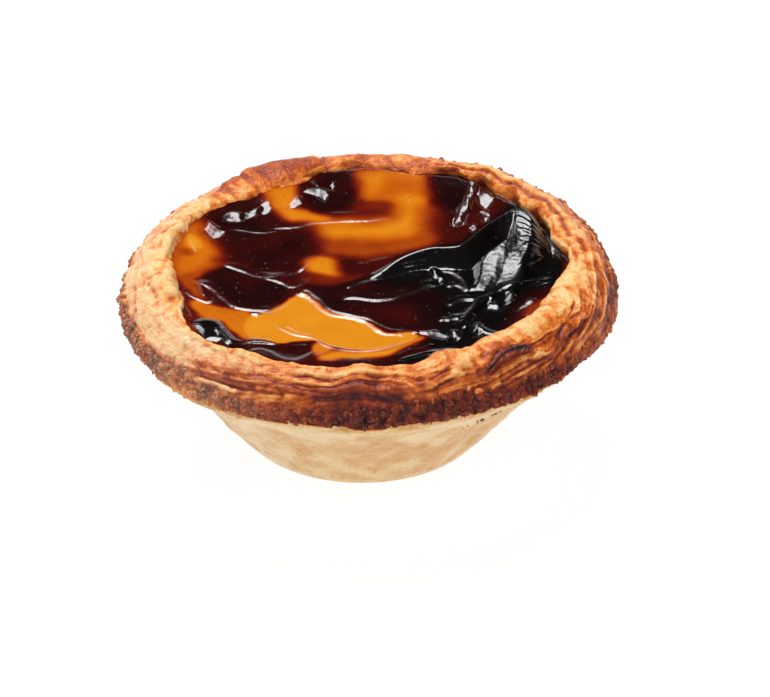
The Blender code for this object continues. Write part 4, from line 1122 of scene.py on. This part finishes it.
shader.inputs["Subsurface Scale"].default_value = 0.0015
shader.inputs["IOR"].default_value = 1.5
shader.inputs["Specular IOR Level"].default_value = 0.7
custard_mesh.materials.append(set_custard)
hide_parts("custard_filling")
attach(custard, "root")

# ---------------------------------------------------------------------------
# Bubbles in the skin. Steam raised pinhead blisters in the custard's skin as it baked, and they
# set there; each one is a low dome of the same custard.
# ---------------------------------------------------------------------------
BUBBLES_PER_SQUARE_MM = 0.12
BUBBLE_RADIUS = (0.07, 0.22)
tree, given = new_tree("set_bubbles", Density=1.0, Smallest=0.1, Largest=0.2, Seed=1)
uppermost = add_node(tree, "GeometryNodeInputPosition")
level = add_node(tree, "ShaderNodeSeparateXYZ", {0: uppermost.outputs[0]})
on_skin = add_node(
    tree, "FunctionNodeCompare", {"A": level.outputs["Z"], "B": (SKIN_LEVEL - 0.8) * MM}, data_type="FLOAT",
    operation="GREATER_THAN",
)
spots = add_node(
    tree, "GeometryNodeDistributePointsOnFaces",
    {"Mesh": given["Geometry"], "Selection": on_skin.outputs[0], "Density": given["Density"],
     "Seed": given["Seed"]},
)
dome = add_node(tree, "GeometryNodeMeshIcoSphere", {"Radius": 1.0, "Subdivisions": 1})
size = add_node(tree, "FunctionNodeRandomValue", data_type="FLOAT")
tree.links.new(given["Smallest"], size.inputs[2])
tree.links.new(given["Largest"], size.inputs[3])
flat = add_node(
    tree, "ShaderNodeVectorMath", {0: (1.0, 1.0, 0.55), "Scale": size.outputs[1]}, operation="SCALE"
)
domes = add_node(
    tree, "GeometryNodeInstanceOnPoints",
    {"Points": spots.outputs["Points"], "Instance": dome.outputs["Mesh"], "Scale": flat.outputs[0]},
)
realised = add_node(tree, "GeometryNodeRealizeInstances", {"Geometry": domes.outputs[0]})
rounded = add_node(tree, "GeometryNodeSetShadeSmooth", {"Geometry": realised.outputs[0]})
finished = add_node(
    tree, "GeometryNodeSetMaterial", {"Geometry": rounded.outputs[0], "Material": set_custard}
)
add_node(tree, "NodeGroupOutput", {"Geometry": finished.outputs[0]})
bubbles = made_by(
    tree, "bubbles", custard_mesh.copy(), Density=BUBBLES_PER_SQUARE_MM / MM**2,
    Smallest=BUBBLE_RADIUS[0] * MM, Largest=BUBBLE_RADIUS[1] * MM, Seed=3,
)
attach(bubbles, "root")

# ---------------------------------------------------------------------------
# The table, the lights and the camera. The tart stands on a plain white table between three soft
# boxes, with nothing on the table beside it.
# ---------------------------------------------------------------------------
floor_mesh = bpy.data.meshes.new("table")
floor_mesh.from_pydata([(-3, -3, 0), (3, -3, 0), (3, 3, 0), (-3, 3, 0)], [], [(0, 1, 2, 3)])
floor = add_piece("table", floor_mesh)
white_table, tree, shader = new_material("white_laminate_table")
shader.inputs["Base Color"].default_value = paint("#646464")
shader.inputs["Roughness"].default_value = 0.9
shader.inputs["Specular IOR Level"].default_value = 0.0
shader.inputs["Emission Color"].default_value = (1.0, 1.0, 1.0, 1.0)
shader.inputs["Emission Strength"].default_value = 0.93
floor_mesh.materials.append(white_table)

# White all round at table height, and dark above it apart from the lights.
world = bpy.data.worlds.new("studio")
bpy.context.scene.world = world
world.use_nodes = True
tree = world.node_tree
backdrop = tree.nodes["Background"]
ray = add_node(tree, "ShaderNodeLightPath")
towards = add_node(tree, "ShaderNodeTexCoord")
height = add_node(tree, "ShaderNodeSeparateXYZ", {0: towards.outputs["Generated"]})
near_table = add_node(
    tree, "ShaderNodeMapRange",
    {"Value": height.outputs["Z"], "From Min": 0.05, "From Max": 0.32, "To Min": 0.9, "To Max": 0.02},
    interpolation_type="SMOOTHSTEP",
)
overhead = add_node(
    tree, "ShaderNodeMapRange",
    {"Value": height.outputs["Z"], "From Min": 0.6, "From Max": 0.95, "To Min": 0.0, "To Max": 0.06},
    interpolation_type="SMOOTHSTEP",
)
reflected = add_node(
    tree, "ShaderNodeMath", {0: near_table.outputs[0], 1: overhead.outputs[0]}, operation="ADD"
)
seen_in_gloss = add_node(
    tree, "ShaderNodeMix", {"Factor": ray.outputs["Is Glossy Ray"], "A": 0.25, "B": reflected.outputs[0]}
)
strength = add_node(
    tree, "ShaderNodeMix", {"Factor": ray.outputs["Is Camera Ray"], "A": seen_in_gloss.outputs[0], "B": 1.0}
)
tree.links.new(strength.outputs[0], backdrop.inputs["Strength"])
backdrop.inputs["Color"].default_value = (1.0, 1.0, 1.0, 1.0)

# A soft box over the back of the table, leaning to the left, and weaker ones at the front right and
# the front left.
for name, spot, size, power in (
    ("key", (-0.20, 0.42, 0.88), 0.54, 10.0),
    ("fill", (0.55, -0.75, 0.75), 0.60, 3.0),
    ("side", (-0.60, -0.75, 0.60), 0.60, 1.3),
):
    lamp = bpy.data.lights.new(name, "AREA")
    lamp.shape = "SQUARE"
    lamp.size = size
    lamp.energy = power
    holder = bpy.data.objects.new(name, lamp)
    holder.location = spot
    holder.rotation_euler = (Vector((0, 0, 0.02)) - Vector(spot)).to_track_quat("-Z", "Y").to_euler()
    bpy.context.scene.collection.objects.link(holder)

CAMERA_HEIGHT = math.radians(32.3)
CAMERA_REACH = 0.6
eye = Vector((0.0, -math.cos(CAMERA_HEIGHT), math.sin(CAMERA_HEIGHT))) * CAMERA_REACH
aim = Vector((0.00244, 0.0058, 0.0092))
camera_data = bpy.data.cameras.new("camera")
camera_data.lens = 180.7
camera_data.sensor_width = 36.0
camera = bpy.data.objects.new("camera", camera_data)
camera.location = eye
camera.rotation_euler = (aim - eye).to_track_quat("-Z", "Y").to_euler()
bpy.context.scene.collection.objects.link(camera)
bpy.context.scene.camera = camera
bpy.context.scene.view_settings.view_transform = "Standard"
